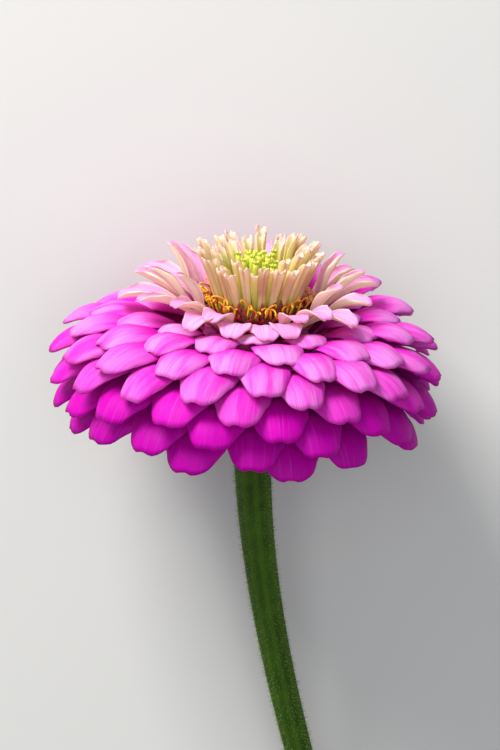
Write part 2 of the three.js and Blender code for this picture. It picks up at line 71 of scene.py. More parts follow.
# %% Small sums that every part of the flower uses
def draw(index, channel):
    """A draw from -1 to 1 that is the same each run. Each use has a channel of its own."""
    raw = sin((index + 1) * SCATTER[0] + (channel + SEED) * SCATTER[1]) * SCATTER[2]
    return 2 * (raw - floor(raw)) - 1


def draw_share(index, channel):
    """A draw from 0 to 1."""
    return 0.5 + 0.5 * draw(index, channel)


def mix(a, b, share):
    return a + (b - a) * share


def guided(guide, share):
    """A guide's values at a share, straight between its lines."""
    after = max(1, next(i for i, line in enumerate(guide) if line["share"] >= share))
    start, end = guide[after - 1], guide[after]
    t = (share - start["share"]) / (end["share"] - start["share"])
    return {key: mix(start[key], end[key], t) for key in start}


def angle_between(turn, other):
    return atan2(sin(turn - other), cos(turn - other))


def polar(radius, turn, height):
    return Vector((radius * cos(turn), radius * sin(turn), height))


def srgb(red, green, blue):
    """A colour as a screen names it, in the linear light that shaders work in."""
    parts = [part / 255 for part in (red, green, blue)]
    linear = [p / 12.92 if p <= 0.04045 else ((p + 0.055) / 1.055) ** 2.4 for p in parts]
    return (*linear, 1.0)


# %% [markdown]
# Node trees are long to wire by hand. A Wire is one socket's value: arithmetic on it adds Math nodes,
# so a formula in a tree reads like a formula. It serves the geometry trees that grow the flower and the
# shaders that colour it.


# %% A socket that can be reckoned with
class Wire:
    def __init__(self, bench, socket):
        self.bench = bench
        self.socket = socket

    def is_vector(self):
        return self.socket.type == "VECTOR"

    def reckon(self, operation, first, second):
        vectors = [isinstance(term, Wire) and term.is_vector() for term in (first, second)]
        if not any(vectors):
            return self.bench.put("ShaderNodeMath", {"operation": operation}, {0: first, 1: second})
        if operation == "MULTIPLY" and not all(vectors):
            vector, number = (first, second) if vectors[0] else (second, first)
            sockets = {0: vector, "Scale": number}
            return self.bench.put("ShaderNodeVectorMath", {"operation": "SCALE"}, sockets)
        return self.bench.put("ShaderNodeVectorMath", {"operation": operation}, {0: first, 1: second})

    def __add__(self, other):
        return self.reckon("ADD", self, other)

    def __radd__(self, other):
        return self.reckon("ADD", other, self)

    def __sub__(self, other):
        return self.reckon("SUBTRACT", self, other)

    def __rsub__(self, other):
        return self.reckon("SUBTRACT", other, self)

    def __mul__(self, other):
        return self.reckon("MULTIPLY", self, other)

    def __rmul__(self, other):
        return self.reckon("MULTIPLY", other, self)

    def __truediv__(self, other):
        return self.reckon("DIVIDE", self, other)

    def __pow__(self, power):
        return self.reckon("POWER", self, power)

    def of(self, operation, other=0.0):
        """Any other Math operation on this value."""
        return self.reckon(operation, self, other)

    def eased(self, low, high, start=0.0, end=1.0):
        """From start to end, softly, as this value goes from low to high."""
        settings = {"interpolation_type": "SMOOTHSTEP"}
        sockets = {0: self, 1: low, 2: high, 3: start, 4: end}
        return self.bench.put("ShaderNodeMapRange", settings, sockets)

    def towards(self, other, share):
        return self + (other - self) * share

    def parts(self):
        node = self.bench.node("ShaderNodeSeparateXYZ", {}, {0: self})
        return [Wire(self.bench, socket) for socket in node.outputs]


# %% [markdown]
# A Bench holds the tree itself. It adds a node, sets it, feeds its sockets, and hands back one of its
# outputs as a Wire.


# %% A tree that nodes are put on
class Bench:
    def __init__(self, tree):
        self.tree = tree

    def node(self, kind, settings=None, sockets=None):
        node = self.tree.nodes.new(kind)
        for name, value in (settings or {}).items():
            setattr(node, name, value)
        for key, value in (sockets or {}).items():
            self.feed(self.pick(node.inputs, key), value)
        return node

    def pick(self, sockets, key):
        if isinstance(key, int):
            return sockets[key]
        return next(socket for socket in sockets if socket.name == key and socket.enabled)

    def feed(self, socket, value):
        if isinstance(value, Wire):
            self.tree.links.new(value.socket, socket)
        else:
            socket.default_value = value

    def put(self, kind, settings=None, sockets=None, output=None):
        """Adds a node and gives one of its outputs as a Wire."""
        node = self.node(kind, settings, sockets)
        if output is None:
            return Wire(self, next(socket for socket in node.outputs if socket.enabled))
        return Wire(self, self.pick(node.outputs, output))

    def vector(self, x, y, z):
        return self.put("ShaderNodeCombineXYZ", {}, {0: x, 1: y, 2: z})


# %% [markdown]
# Two kinds of tree grow the flower, and both start the same way: a plain body is put on each seed, and
# its points are moved. A seed is a bare point that carries numbers of its own, such as the four points
# of a curve to follow. These are the steps that the two trees share.


# %% Steps that the growing trees share
def new_tree(name, inputs):
    """A geometry tree with named inputs, and its bench."""
    tree = bpy.data.node_groups.new(name, "GeometryNodeTree")
    tree.interface.new_socket("Seeds", in_out="INPUT", socket_type="NodeSocketGeometry")
    for label, kind in inputs:
        tree.interface.new_socket(label, in_out="INPUT", socket_type=kind)
    tree.interface.new_socket("Grown", in_out="OUTPUT", socket_type="NodeSocketGeometry")
    bench = Bench(tree)
    entry = bench.node("NodeGroupInput")
    return bench, {socket.name: Wire(bench, socket) for socket in entry.outputs if socket.name}


def own(bench, name, kind="FLOAT"):
    """What each seed says about itself under a name."""
    return bench.put("GeometryNodeInputNamedAttribute", {"data_type": kind}, {"Name": name}, "Attribute")


def noted(bench, geometry, name, value):
    """Keeps a value on the points, where a shader finds it by name."""
    settings = {"data_type": "FLOAT", "domain": "POINT"}
    sockets = {"Geometry": geometry, "Name": name, "Value": value}
    return bench.put("GeometryNodeStoreNamedAttribute", settings, sockets)


def along_curve(bench, share):
    """The place and heading on a seed's cubic curve."""
    first, second, third, last = (own(bench, f"p{i}", "FLOAT_VECTOR") for i in range(4))
    back = 1 - share
    place = first * (back * back * back) + second * (3 * back * back * share)
    place = place + third * (3 * back * share * share) + last * (share * share * share)
    heading = (second - first) * (back * back) + (third - second) * (2 * back * share)
    heading = heading + (last - third) * (share * share)
    return place, bench.put("ShaderNodeVectorMath", {"operation": "NORMALIZE"}, {0: heading})


def laid_down(bench, x, y, z):
    """A point of the head's frame, where the head lies."""
    lean_sine, lean_cosine = sin(HEAD_LEAN), cos(HEAD_LEAN)
    return (
        x + HEAD_BASE.x,
        y * lean_sine + z * lean_cosine + HEAD_BASE.y,
        z * lean_sine - y * lean_cosine + HEAD_BASE.z,
    )


def close_tree(bench, geometry, position, material):
    """Moves the points, and ends the tree as plain mesh with its finish."""
    moved = bench.put("GeometryNodeSetPosition", {}, {"Geometry": geometry, "Position": position})
    smooth = bench.put("GeometryNodeSetShadeSmooth", {}, {0: moved})
    painted = bench.put("GeometryNodeSetMaterial", {}, {"Geometry": smooth, "Material": material})
    leave = bench.node("NodeGroupOutput")
    bench.feed(leave.inputs[0], painted)


# %% [markdown]
# A floret is a blade: a midrib that curves out of the head and over, and a strip of petal that is
# spread along it. Rolled hard, the same strip is a tube, which is just what a young zinnia floret is.
# The tree below bends a flat slab into such a blade, once for each seed. It shapes the tip, then the
# width and the roll, then the pleats. Last, the surface holds up what would sink into it.


# %% The tree that grows blades
BLADE_INPUTS = [
    ("Columns", "NodeSocketInt"),
    ("Rows", "NodeSocketInt"),
    ("Thickness", "NodeSocketFloat"),
    ("Claw Width", "NodeSocketFloat"),
    ("Claw End", "NodeSocketFloat"),
    ("Full Width From", "NodeSocketFloat"),
    ("Tip Narrowing", "NodeSocketFloat"),
    ("Roundness", "NodeSocketFloat"),
    ("Notch", "NodeSocketFloat"),
    ("Pleats", "NodeSocketFloat"),
    ("Ruffle", "NodeSocketFloat"),
    ("Flare", "NodeSocketFloat"),
    ("Finish", "NodeSocketMaterial"),
]
NOTCH_NARROWNESS = 4.5
NOTCH_SHIFT = 0.6  # how far a blade's lot moves its notch to one side
TEETH = {"share": 0.35, "waves": 11, "shift": 9}
PLEAT = {"waves": 7.6, "shift": 1.2}
RUFFLE = {"along": 9, "across": 2, "shift": 17}
FLARE = {"widens": 0.5, "unrolls": 0.45}
THINNED_MARGIN = 0.45
LEAST_ROLL = 0.00002  # a flat blade still has a roll to divide by
SURFACE_GAP = 0.02 * MM
SURFACE_SOFTNESS = 0.8 * MM


def blade_tree():
    bench, given = new_tree("blades", BLADE_INPUTS)
    counts = {"Vertices X": given["Columns"], "Vertices Y": given["Rows"], "Vertices Z": 2}
    slab = bench.put("GeometryNodeMeshCube", {}, {"Size": (2.0, 1.0, 2.0), **counts}, "Mesh")
    many = bench.put("GeometryNodeInstanceOnPoints", {}, {"Points": given["Seeds"], "Instance": slab})
    grown = bench.put("GeometryNodeRealizeInstances", {}, {"Geometry": many})
    x, y, side = bench.put("GeometryNodeInputPosition").parts()
    # Half of a sine draws the columns closer together towards the margins, so that tips come out round.
    across = (x * -0.5) - (x * (0.5 * pi)).of("SINE") * 0.5
    along = y + 0.5
    grown = noted(bench, grown, "across", across)
    grown = noted(bench, grown, "along", along)
    grown = noted(bench, grown, "side", side)
    across, along, side = (own(bench, name) for name in ("across", "along", "side"))
    turn, width, root_roll, tip_roll, twist, lot = (
        own(bench, name) for name in ("turn", "width", "root_roll", "tip_roll", "twist", "lot")
    )

    # Round the tip, with a notch in its middle, by drawing back the points near its edge.
    reach = across.of("ABSOLUTE")
    rounding = given["Roundness"] * reach**4 * along**3
    off_notch = (across * NOTCH_NARROWNESS + lot * NOTCH_SHIFT).of("ABSOLUTE").of("MINIMUM", 1.0)
    notch = given["Notch"] * (1 - off_notch) * along**8
    toothed = (across * TEETH["waves"] + lot * TEETH["shift"]).of("SINE")
    teeth = given["Notch"] * TEETH["share"] * toothed * along**10
    share = along * (1 - rounding - notch - teeth)
    place, heading = along_curve(bench, share)
    out, up, _ = place.parts()
    ahead_out, ahead_up, _ = heading.parts()

    # The strip's width along the midrib, and how it rolls.
    opening = along.eased(given["Claw End"], given["Full Width From"], given["Claw Width"], 1.0)
    narrowing = 1 - given["Tip Narrowing"] * along.eased(0.8, 1.0)
    flare = given["Flare"] * along.eased(0.8, 1.0)
    half = 0.5 * width * opening * narrowing * (1 + FLARE["widens"] * flare)
    roll = root_roll.towards(tip_roll, along) * (1 - FLARE["unrolls"] * flare) + LEAST_ROLL
    angle = across * roll
    half_sine = (0.5 * angle).of("SINE")
    aside = half * angle.of("SINE") / roll
    lift = 2 * half * half_sine * half_sine / roll + twist * across * along * half

    # Pleats run the length of the blade, and the margin is a little ruffled.
    body = along.eased(0.15, 0.6) * (1 - 0.6 * along.eased(0.8, 1.0))
    pleats = (across * PLEAT["waves"] + lot * PLEAT["shift"]).of("COSINE") * body
    phase = along * RUFFLE["along"] + across * RUFFLE["across"] + lot * RUFFLE["shift"]
    ruffle = phase.of("SINE") * reach**3 * along.eased(0.3, 0.9)
    lift = lift + given["Pleats"] * pleats + given["Ruffle"] * ruffle

    def stand(offset):
        """The point at this much to one side of the middle layer, where the head lies."""
        sideways = aside - angle.of("SINE") * offset
        outwards = lift + angle.of("COSINE") * offset
        radius = out - ahead_up * outwards
        height = up + ahead_out * outwards
        turn_cosine, turn_sine = turn.of("COSINE"), turn.of("SINE")
        return laid_down(
            bench,
            radius * turn_cosine - sideways * turn_sine,
            radius * turn_sine + sideways * turn_cosine,
            height,
        )

    # The surface holds the middle layer half a thickness up. The blade thins towards its margin.
    margin = 1 - THINNED_MARGIN * reach**4
    skin = stand(0.5 * given["Thickness"] * side * margin)
    level = stand(0.0)[2]
    least = 0.5 * given["Thickness"] + SURFACE_GAP
    limits = {0: level, 1: least, 2: SURFACE_SOFTNESS}
    held = bench.put("ShaderNodeMath", {"operation": "SMOOTH_MAX"}, limits)
    risen = (skin[2] + (held - level).of("MAXIMUM", 0.0)).of("MAXIMUM", 0.0)
    close_tree(bench, grown, bench.vector(skin[0], skin[1], risen), given["Finish"])
    return bench.tree


# %% [markdown]
# Hairs, styles, buds, scales and the stem itself are strands: round or flattened bodies along a curve,
# thick or thin at the root, in the middle and at the tip. A cylinder bent along the curve gives all of
# them, and a strand that is ribbed lengthwise gives the stem.


# %% The tree that grows strands
STRAND_INPUTS = [
    ("Sides", "NodeSocketInt"),
    ("Rings", "NodeSocketInt"),
    ("Ribs", "NodeSocketFloat"),
    ("Rib Depth", "NodeSocketFloat"),
    ("Finish", "NodeSocketMaterial"),
]


def strand_tree():
    bench, given = new_tree("strands", STRAND_INPUTS)
    counts = {"Vertices": given["Sides"], "Side Segments": given["Rings"], "Radius": 1.0, "Depth": 1.0}
    rod = bench.put("GeometryNodeMeshCylinder", {"fill_type": "NGON"}, counts, "Mesh")
    many = bench.put("GeometryNodeInstanceOnPoints", {}, {"Points": given["Seeds"], "Instance": rod})
    grown = bench.put("GeometryNodeRealizeInstances", {}, {"Geometry": many})
    x, y, z = bench.put("GeometryNodeInputPosition").parts()
    grown = noted(bench, grown, "along", z + 0.5)
    grown = noted(bench, grown, "around", y.of("ARCTAN2", x))
    grown = noted(bench, grown, "across", x)
    grown = noted(bench, grown, "other", y)
    along, around, across, other = (own(bench, name) for name in ("along", "around", "across", "other"))
    place, heading = along_curve(bench, along)
    flat = own(bench, "flat")
    aside = own(bench, "aside", "FLOAT_VECTOR")
    square = bench.put("ShaderNodeVectorMath", {"operation": "CROSS_PRODUCT"}, {0: heading, 1: aside})
    square = bench.put("ShaderNodeVectorMath", {"operation": "NORMALIZE"}, {0: square})
    level = bench.put("ShaderNodeVectorMath", {"operation": "CROSS_PRODUCT"}, {0: square, 1: heading})
    back = 1 - along
    root, middle, tip = own(bench, "girth", "FLOAT_VECTOR").parts()
    girth = root * back * back + 2 * middle * along * back + tip * along * along
    girth = girth * (1 + given["Rib Depth"] * (around * given["Ribs"]).of("COSINE"))
    point = place + level * (across * girth) + square * (other * girth * flat)
    px, py, pz = laid_down(bench, *point.parts())
    close_tree(bench, grown, bench.vector(px, py, pz.of("MAXIMUM", 0.0)), given["Finish"])
    return bench.tree


# %% [markdown]
# Growing a piece takes three steps. The seeds become a mesh of bare points with named attributes. A
# modifier runs the tree on them, with its inputs set before it first runs. The result is kept as a plain
# mesh, because the finished object must stand on its own when it is exported.

# %% Grow a piece from seeds
TREES = {"blade": blade_tree(), "strand": strand_tree()}
KEPT = {"across", "other", "along", "side", "lot", "tone", "around", "position", "sharp_face"}


def seed_mesh(name, seeds):
    mesh = bpy.data.meshes.new(name)
    mesh.from_pydata([(0.0, 0.0, 0.0)] * len(seeds), [], [])
    for key, sample in seeds[0].items():
        if isinstance(sample, Vector):
            layer = mesh.attributes.new(key, "FLOAT_VECTOR", "POINT")
            layer.data.foreach_set("vector", [part for seed in seeds for part in seed[key]])
        else:
            layer = mesh.attributes.new(key, "FLOAT", "POINT")
            layer.data.foreach_set("value", [seed[key] for seed in seeds])
    return mesh


def grow(name, kind, seeds, inputs):
    """One plain mesh object, grown by a tree from a list of seeds."""
    piece = bpy.data.objects.new(name, seed_mesh(name, seeds))
    bpy.context.scene.collection.objects.link(piece)
    modifier = piece.modifiers.new("grow", "NODES")
    modifier.node_group = TREES[kind]
    for item in TREES[kind].interface.items_tree:
        if item.in_out == "INPUT" and item.name in inputs:
            modifier[item.identifier] = inputs[item.name]
    graph = bpy.context.evaluated_depsgraph_get()
    mesh = bpy.data.meshes.new_from_object(piece.evaluated_get(graph))
    piece.modifiers.clear()
    piece.data = mesh
    for layer in [a.name for a in mesh.attributes if a.name not in KEPT and not a.name.startswith(".")]:
        if not mesh.attributes[layer].is_required and layer != "material_index":
            mesh.attributes.remove(mesh.attributes[layer])
    mesh.name = name
    triangles = sum(len(face.vertices) - 2 for face in mesh.polygons)
    print(f"{name}: {len(seeds)} grown, {triangles} triangles")
    return piece


def belongs(piece, node):
    """The piece moves with the flower and stands for a solid, which is hidden."""
    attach(piece, "root")
    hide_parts(node)


# %% [markdown]
# Under the florets sits the solid base of the head. Little of it shows, only depth between the petals'
# roots, so plain turned shapes are enough. A turned shape is a profile swung round the axis.


# %% Turned shapes
def turned(name, profile, segments, material):
    """A closed body of revolution from a profile of radius and height, in millimetres."""
    points, rings, faces = [], [], []
    for radius, height in profile:
        if radius == 0:
            rings.append([len(points)])
            points.append((0.0, 0.0, height * MM))
            continue
        rings.append(list(range(len(points), len(points) + segments)))
        for k in range(segments):
            points.append(tuple(polar(radius * MM, 2 * pi * k / segments, height * MM)))
    pairs = list(zip(rings, rings[1:]))
    if profile[0][0] != 0:
        pairs.append((rings[-1], rings[0]))
    for low, high in pairs:
        for k in range(segments):
            under = (low[k % len(low)], low[(k + 1) % len(low)])
            over = (high[(k + 1) % len(high)], high[k % len(high)])
            face = list(dict.fromkeys(under + over))
            if len(face) > 2:
                faces.append(face)
    mesh = bpy.data.meshes.new(name)
    mesh.from_pydata(points, [], faces)
    mesh.transform(LAID_DOWN)
    mesh.polygons.foreach_set("use_smooth", [True] * len(mesh.polygons))
    mesh.materials.append(material)
    piece = bpy.data.objects.new(name, mesh)
    bpy.context.scene.collection.objects.link(piece)
    return piece


# %% [markdown]
# A petal's colour is worked out where it is. The face is paler near the tip, partly its own colour and
# partly a painted highlight, laid most on the upper petals. The claw and the root carry painted shade,
# where the petals above cover them, darkest on the lowest petals. Fine veins run its length, and the back
# is paler. The tone that each seed carries takes a petal from the deep pink of the lowest to the lilac of
# the youngest. Light also comes through petals, so a translucent share is mixed in.


# %% The petals' finish
def new_material(name):
    material = bpy.data.materials.new(name)
    material.use_nodes = True
    material.node_tree.nodes.clear()
    return material, Bench(material.node_tree)


def noted_value(bench, name):
    settings = {"attribute_type": "GEOMETRY", "attribute_name": name}
    return bench.put("ShaderNodeAttribute", settings, {}, "Fac")


def blend(bench, share, first, second):
    settings = {"data_type": "RGBA", "blend_type": "MIX", "clamp_factor": True}
    node = bench.node("ShaderNodeMix", settings)
    bench.feed(next(s for s in node.inputs if s.identifier == "Factor_Float"), share)
    bench.feed(next(s for s in node.inputs if s.identifier == "A_Color"), first)
    bench.feed(next(s for s in node.inputs if s.identifier == "B_Color"), second)
    return Wire(bench, next(s for s in node.outputs if s.identifier == "Result_Color"))


def clouds(bench, vector, scale, detail=3.0):
    sockets = {"Vector": vector, "Scale": scale, "Detail": detail}
    return bench.put("ShaderNodeTexNoise", {"noise_dimensions": "3D"}, sockets)


def bumped(bench, height, distance, strength):
    sockets = {"Height": height, "Distance": distance, "Strength": strength}
    return bench.put("ShaderNodeBump", {}, sockets)


def finish(bench, colour, roughness, normal=None, glow=None, **fixed):
    """A principled surface. A glow is a colour, and the share of light let through in it."""
    sockets = {"Base Color": colour, "Roughness": roughness, **fixed}
    if normal is not None:
        sockets["Normal"] = normal
    surface = bench.put("ShaderNodeBsdfPrincipled", {}, sockets)
    if glow is not None:
        glow_colour, glow_share = glow
        through = bench.put("ShaderNodeBsdfTranslucent", {}, {"Color": glow_colour})
        surface = bench.put("ShaderNodeMixShader", {}, {0: glow_share, 1: surface, 2: through})
    leave = bench.node("ShaderNodeOutputMaterial")
    bench.feed(leave.inputs["Surface"], surface)


LOW_CLAW_SHADE = srgb(96, 0, 76)
HIGH_CLAW_SHADE = srgb(224, 0, 150)
DEEP_PINK = srgb(184, 0, 146)
LOW_PINK = srgb(198, 0, 176)
FULL_PINK = srgb(232, 0, 200)
LIGHT_PINK = srgb(248, 150, 240)
PALE_LILAC = srgb(252, 200, 247)
PETAL_BACK = srgb(212, 44, 184)
BACK_VEIN = srgb(176, 14, 154)
BACK_ROOT = srgb(222, 204, 150)
PINK_GLOW = (srgb(232, 8, 206), 0.24)


def petal_material():
    material, bench = new_material("petal_skin")
    across, along, side, lot, tone = (
        noted_value(bench, name) for name in ("across", "along", "side", "lot", "tone")
    )
    # Patches and veins are clouds drawn out along the petal, other ones for each petal.
    patches = clouds(bench, bench.vector(across * 1.5, along * 1.2, lot * 37), 1.5)
    veins = clouds(bench, bench.vector(across * 24, along * 1.5, lot * 53), 1.2, 2.0)
    patchy = patches.eased(0.3, 0.62, 0.2, 1.0)
    # The lighter patches towards the tip are partly the petal's own paler colour and partly a painted
    # highlight, laid most on the upper petals that face the light.
    light = along.eased(0.5, 0.93) * patchy * tone.eased(0.32, 0.74, 0.0, 0.95)
    # Painted shade: the claw and the petal's root are darkened where the petals above cover them, most on
    # the lowest petals.
    claw_shade = blend(bench, tone.eased(0.1, 0.6), LOW_CLAW_SHADE, HIGH_CLAW_SHADE)
    depth = blend(bench, tone.eased(0.0, 0.35), claw_shade, DEEP_PINK)
    full = blend(bench, tone.eased(0.12, 0.5), LOW_PINK, FULL_PINK)
    colour = blend(bench, along.eased(0.3, 0.66), depth, full)
    colour = blend(bench, light, colour, LIGHT_PINK)
    youngest = tone.eased(0.86, 1.06, 0.0, 0.75)
    colour = blend(bench, youngest * along.eased(0.35, 0.85), colour, PALE_LILAC)
    # Painted shade darkens the claw once more towards the root.
    colour = blend(bench, along.eased(0.42, 0.12), colour, claw_shade)
    colour = blend(bench, veins.eased(0.5, 0.34) * 0.28, colour, DEEP_PINK)
    colour = blend(bench, veins.eased(0.58, 0.74) * 0.06, colour, PALE_LILAC)
    colour = blend(bench, along.eased(0.965, 1.0) * 0.4, colour, DEEP_PINK)
    colour = blend(bench, across.of("ABSOLUTE").eased(0.86, 1.0) * 0.3, colour, FULL_PINK)
    back = blend(bench, veins.eased(0.35, 0.6) * 0.6, PETAL_BACK, BACK_VEIN)
    back = blend(bench, along.eased(0.34, 0.1) * 0.7, back, BACK_ROOT)
    colour = blend(bench, side.eased(-0.2, 0.2), back, colour)
    normal = bumped(bench, veins * 0.7 + patches * 0.6, 0.3 * MM, 0.6)
    finish(bench, colour, 0.5, normal, PINK_GLOW, **{"Specular IOR Level": 0.1})
    return material


PETAL_SKIN = petal_material()

# %% [markdown]
# The open petals come from one spiral of seeds, each a golden angle on from the last, so that no petal
# lies right over the one before. The guide gives the petal's tip, slopes and width from the lowest
# petal to the innermost, as on the solid model.

# %% The spiral of open petals
RAY_COUNT = 106
RAY_START = radians(8)
LEFT_LONGER = 0.045
RAY_CORE = {"low": 3.3, "high": 18.4, "base": 10.4, "waist": 14.8, "neck": 10.4, "bevel": 1.2}
RAY_ROOTS = {"low": 4.8, "high": 16.9, "sunk": 0.7}
GUIDE_KEYS = ("share", "radius", "height", "tip_slope", "root_slope", "width")
RAY_GUIDE = [
    dict(zip(GUIDE_KEYS, line))
    for line in (
        (0.0, 36.4, -1.6, -86, 14, 12.6),
        (0.13, 38.2, 1.6, -82, 18, 12.6),
        (0.24, 39.3, 5.0, -74, 22, 12.4),
        (0.38, RIM_RADIUS, RIM_HEIGHT, -64, 26, 12.0),
        (0.52, 39.4, 13.6, -53, 29, 11.4),
        (0.64, 37.8, 16.6, -50, 31, 11.0),
        (0.76, 34.2, 18.9, -46, 34, 10.6),
        (0.88, 28.6, 20.4, -42, 38, 9.8),
        (1.0, 20.0, 21.6, -36, 44, 8.2),
    )
]
RAY_ROLLS = {"root": 0.5, "tip": -0.85}
RAY_WANDER = {
    "radius": 0.5,
    "height": 0.5,
    "slope": 7,
    "width": 0.06,
    "roll": 0.15,
    "twist": 0.06,
    "tone": 0.06,
}
# Some of the upper petals at one side stand higher than the rest.
SHOULDER = {
    "turn": radians(52),
    "spread": 0.6,
    "share": 0.74,
    "depth": 0.16,
    "lift": 6.0,
    "slope": 16,
}
ARM_SHARE = 0.38  # a midrib's inner points stand this share of its length from the ends


def blade_seed(root, tip, slopes, turn, width, rolls, twist, lot, tone):
    """A blade's numbers. Root, tip and slopes in degrees give the four points of its midrib."""
    arm = ARM_SHARE * hypot(tip[0] - root[0], tip[1] - root[1])
    out, over = (radians(slope) for slope in slopes)
    second = (root[0] + arm * cos(out), root[1] + arm * sin(out))
    third = (tip[0] - arm * cos(over), tip[1] - arm * sin(over))
    points = {f"p{i}": Vector((*point, 0.0)) * MM for i, point in enumerate((root, second, third, tip))}
    numbers = {"turn": turn, "width": width * MM, "root_roll": rolls[0], "tip_roll": rolls[1]}
    return {**points, **numbers, "twist": twist, "lot": lot, "tone": tone}


def ray_seed(index):
    share = index / (RAY_COUNT - 1)
    line = guided(RAY_GUIDE, share)
    turn = RAY_START + index * GOLDEN_ANGLE
    aside = angle_between(turn, SHOULDER["turn"]) / SHOULDER["spread"]
    stand = exp(-(aside**2) - ((share - SHOULDER["share"]) / SHOULDER["depth"]) ** 2)
    core = mix(RAY_CORE["waist"], RAY_CORE["neck"], share)
    root = (core - RAY_ROOTS["sunk"], mix(RAY_ROOTS["low"], RAY_ROOTS["high"], share))
    wander = RAY_WANDER
    tip = (
        line["radius"] * (1 - LEFT_LONGER * cos(turn)) + wander["radius"] * draw(index, 1),
        line["height"] + wander["height"] * draw(index, 2) + SHOULDER["lift"] * stand,
    )
    tip_slope = line["tip_slope"] + wander["slope"] * draw(index, 3) + SHOULDER["slope"] * stand
    return blade_seed(
        root,
        tip,
        (line["root_slope"], tip_slope),
        turn,
        line["width"] * (1 + wander["width"] * draw(index, 4)),
        (RAY_ROLLS["root"], RAY_ROLLS["tip"] + wander["roll"] * draw(index, 5)),
        wander["twist"] * draw(index, 6),
        draw_share(index, 30),
        share + wander["tone"] * draw(index, 31),
    )


OPEN_BLADE = {
    "Columns": 17,
    "Rows": 23,
    "Thickness": 0.42 * MM,
    "Claw Width": 0.14,
    "Claw End": 0.18,
    "Full Width From": 0.56,
    "Tip Narrowing": 0.08,
    "Roundness": 0.22,
    "Notch": 0.012,
    "Pleats": 0.07 * MM,
    "Ruffle": 0.2 * MM,
    "Flare": 0.0,
    "Finish": PETAL_SKIN,
}
ray_seeds = [ray_seed(index) for index in range(RAY_COUNT)]
open_petals = grow("open_petal_blades", "blade", ray_seeds, OPEN_BLADE)
belongs(open_petals, "open_petals")

# %% [markdown]
# The open petals' roots sink into a solid core. It is seen only between them, and its deep pink is
# painted shade, the colour of the shadow there.

# %% The base under the open petals
# The core's colour is painted shade: a deep pink that stands for the shadow between the petals' roots.
PETAL_BASE_SHADE = srgb(176, 2, 130)
core_profile = [
    (0, RAY_CORE["low"]),
    (RAY_CORE["base"], RAY_CORE["low"]),
    (RAY_CORE["waist"], RAY_CORE["low"] + RAY_CORE["bevel"]),
    (RAY_CORE["neck"], RAY_CORE["high"]),
    (0, RAY_CORE["high"]),
]


def plain_material(name, colour, roughness):
    """One even colour, a little mottled, for what lies deep between the florets."""
    material, bench = new_material(name)
    place = bench.put("ShaderNodeTexCoord", {}, {}, "Object")
    mottle = clouds(bench, place, 900.0)
    dark = tuple(0.6 * part for part in colour[:3]) + (1.0,)
    finish(bench, blend(bench, mottle.eased(0.35, 0.65), dark, colour), roughness)
    return material


petal_base_shade_skin = plain_material("petal_base", PETAL_BASE_SHADE, 0.7)
petal_base = turned("petal_base", core_profile, 40, petal_base_shade_skin)
belongs(petal_base, "open_petals")

# %% [markdown]
# Half-open florets are petals still folded lengthwise. Their pale, faintly striped backs show, with a
# pink margin. The ones on the side that faces up are lilac, and lie short and flat, so that the eye
# shows.

# %% The half-open florets' finish
CREAM = srgb(255, 250, 224)
YELLOW_CREAM = srgb(254, 246, 186)
BLUSH = srgb(244, 208, 176)
STRIPE_ROSE = srgb(184, 92, 96)
MARGIN_PINK = srgb(232, 120, 206)
ROSE_BROWN = srgb(204, 138, 108)
ROOT_YELLOW = srgb(242, 240, 112)
ROOT_OCHRE = srgb(216, 150, 40)
CREAM_GLOW = (srgb(255, 240, 196), 0.34)


def young_material(name, blush_share, back_cream, back_brown, face, root):
    """Young florets: a cream back with rose stripes, a face of its own, and a yellow root."""
    material, bench = new_material(name)
    across, along, side, lot, tone = (
        noted_value(bench, key) for key in ("across", "along", "side", "lot", "tone")
    )
    fine = clouds(bench, bench.vector(across * 9, along * 0.8, lot * 41), 1.5)
    bands = (across * 10.5 + lot * 6).of("COSINE") * 0.5 + 0.5
    back = blend(bench, (0.35 + fine) * along.eased(0.1, 0.9) * blush_share, back_cream, BLUSH)
    stripes = bands.eased(0.6, 0.95) * fine.eased(0.3, 0.6) * (0.35 + blush_share)
    back = blend(bench, stripes, back, STRIPE_ROSE)
    # A tone over 1 marks the florets that lie low in front: they are lilac nearly all over.
    lilac = tone.eased(1.0, 1.4)
    back = blend(bench, lilac * 0.75, back, LIGHT_PINK)
    colour = blend(bench, side.eased(-0.2, 0.2), back, face(bench, fine, along))
    margin = across.of("ABSOLUTE").eased(0.8, 0.96) * (1 - 0.8 * lilac)
    shaded = along.eased(0.2, 0.5) * along.eased(1.0, 0.8) * lot * back_brown
    colour = blend(bench, shaded * tone.eased(0.4, 1.0), colour, ROSE_BROWN)
    colour = blend(bench, margin * 0.6, colour, CREAM)
    inner_row = tone.eased(1.0, 0.0) * along.eased(1.05, 0.55) * 0.75
    colour = blend(bench, inner_row, colour, ROOT_YELLOW)
    colour = blend(bench, along.eased(0.93, 0.99) * fine.eased(0.3, 0.6) * 0.5, colour, MARGIN_PINK)
    colour = blend(bench, along.eased(0.42, 0.02) * 0.85, colour, root)
    colour = blend(bench, along.eased(0.22, 0.08) * 0.7, colour, ROOT_OCHRE)
    normal = bumped(bench, fine + bands * 0.4, 0.25 * MM, 0.5)
    finish(bench, colour, 0.5, normal, CREAM_GLOW, **{"Specular IOR Level": 0.3})
    return material


def lilac_face(bench, fine, along):
    rosy = blend(bench, fine.eased(0.35, 0.7), LIGHT_PINK, PALE_LILAC)
    return blend(bench, along.eased(0.5, 0.15), rosy, FULL_PINK)


def cream_face(bench, fine, along):
    return blend(bench, along.eased(0.3, 1.0), ROOT_YELLOW, CREAM)


HALF_OPEN_SKIN = young_material("half_open_skin", 0.14, CREAM, 0.0, lilac_face, ROOT_OCHRE)
ROLLED_SKIN = young_material("rolled_skin", 0.4, YELLOW_CREAM, 0.75, cream_face, ROOT_YELLOW)

# %% [markdown]
# The half-open florets go on with the petals' spiral. Their guide has one value more, the roll, and a
# second set of values draws in the ones that lie low in front.

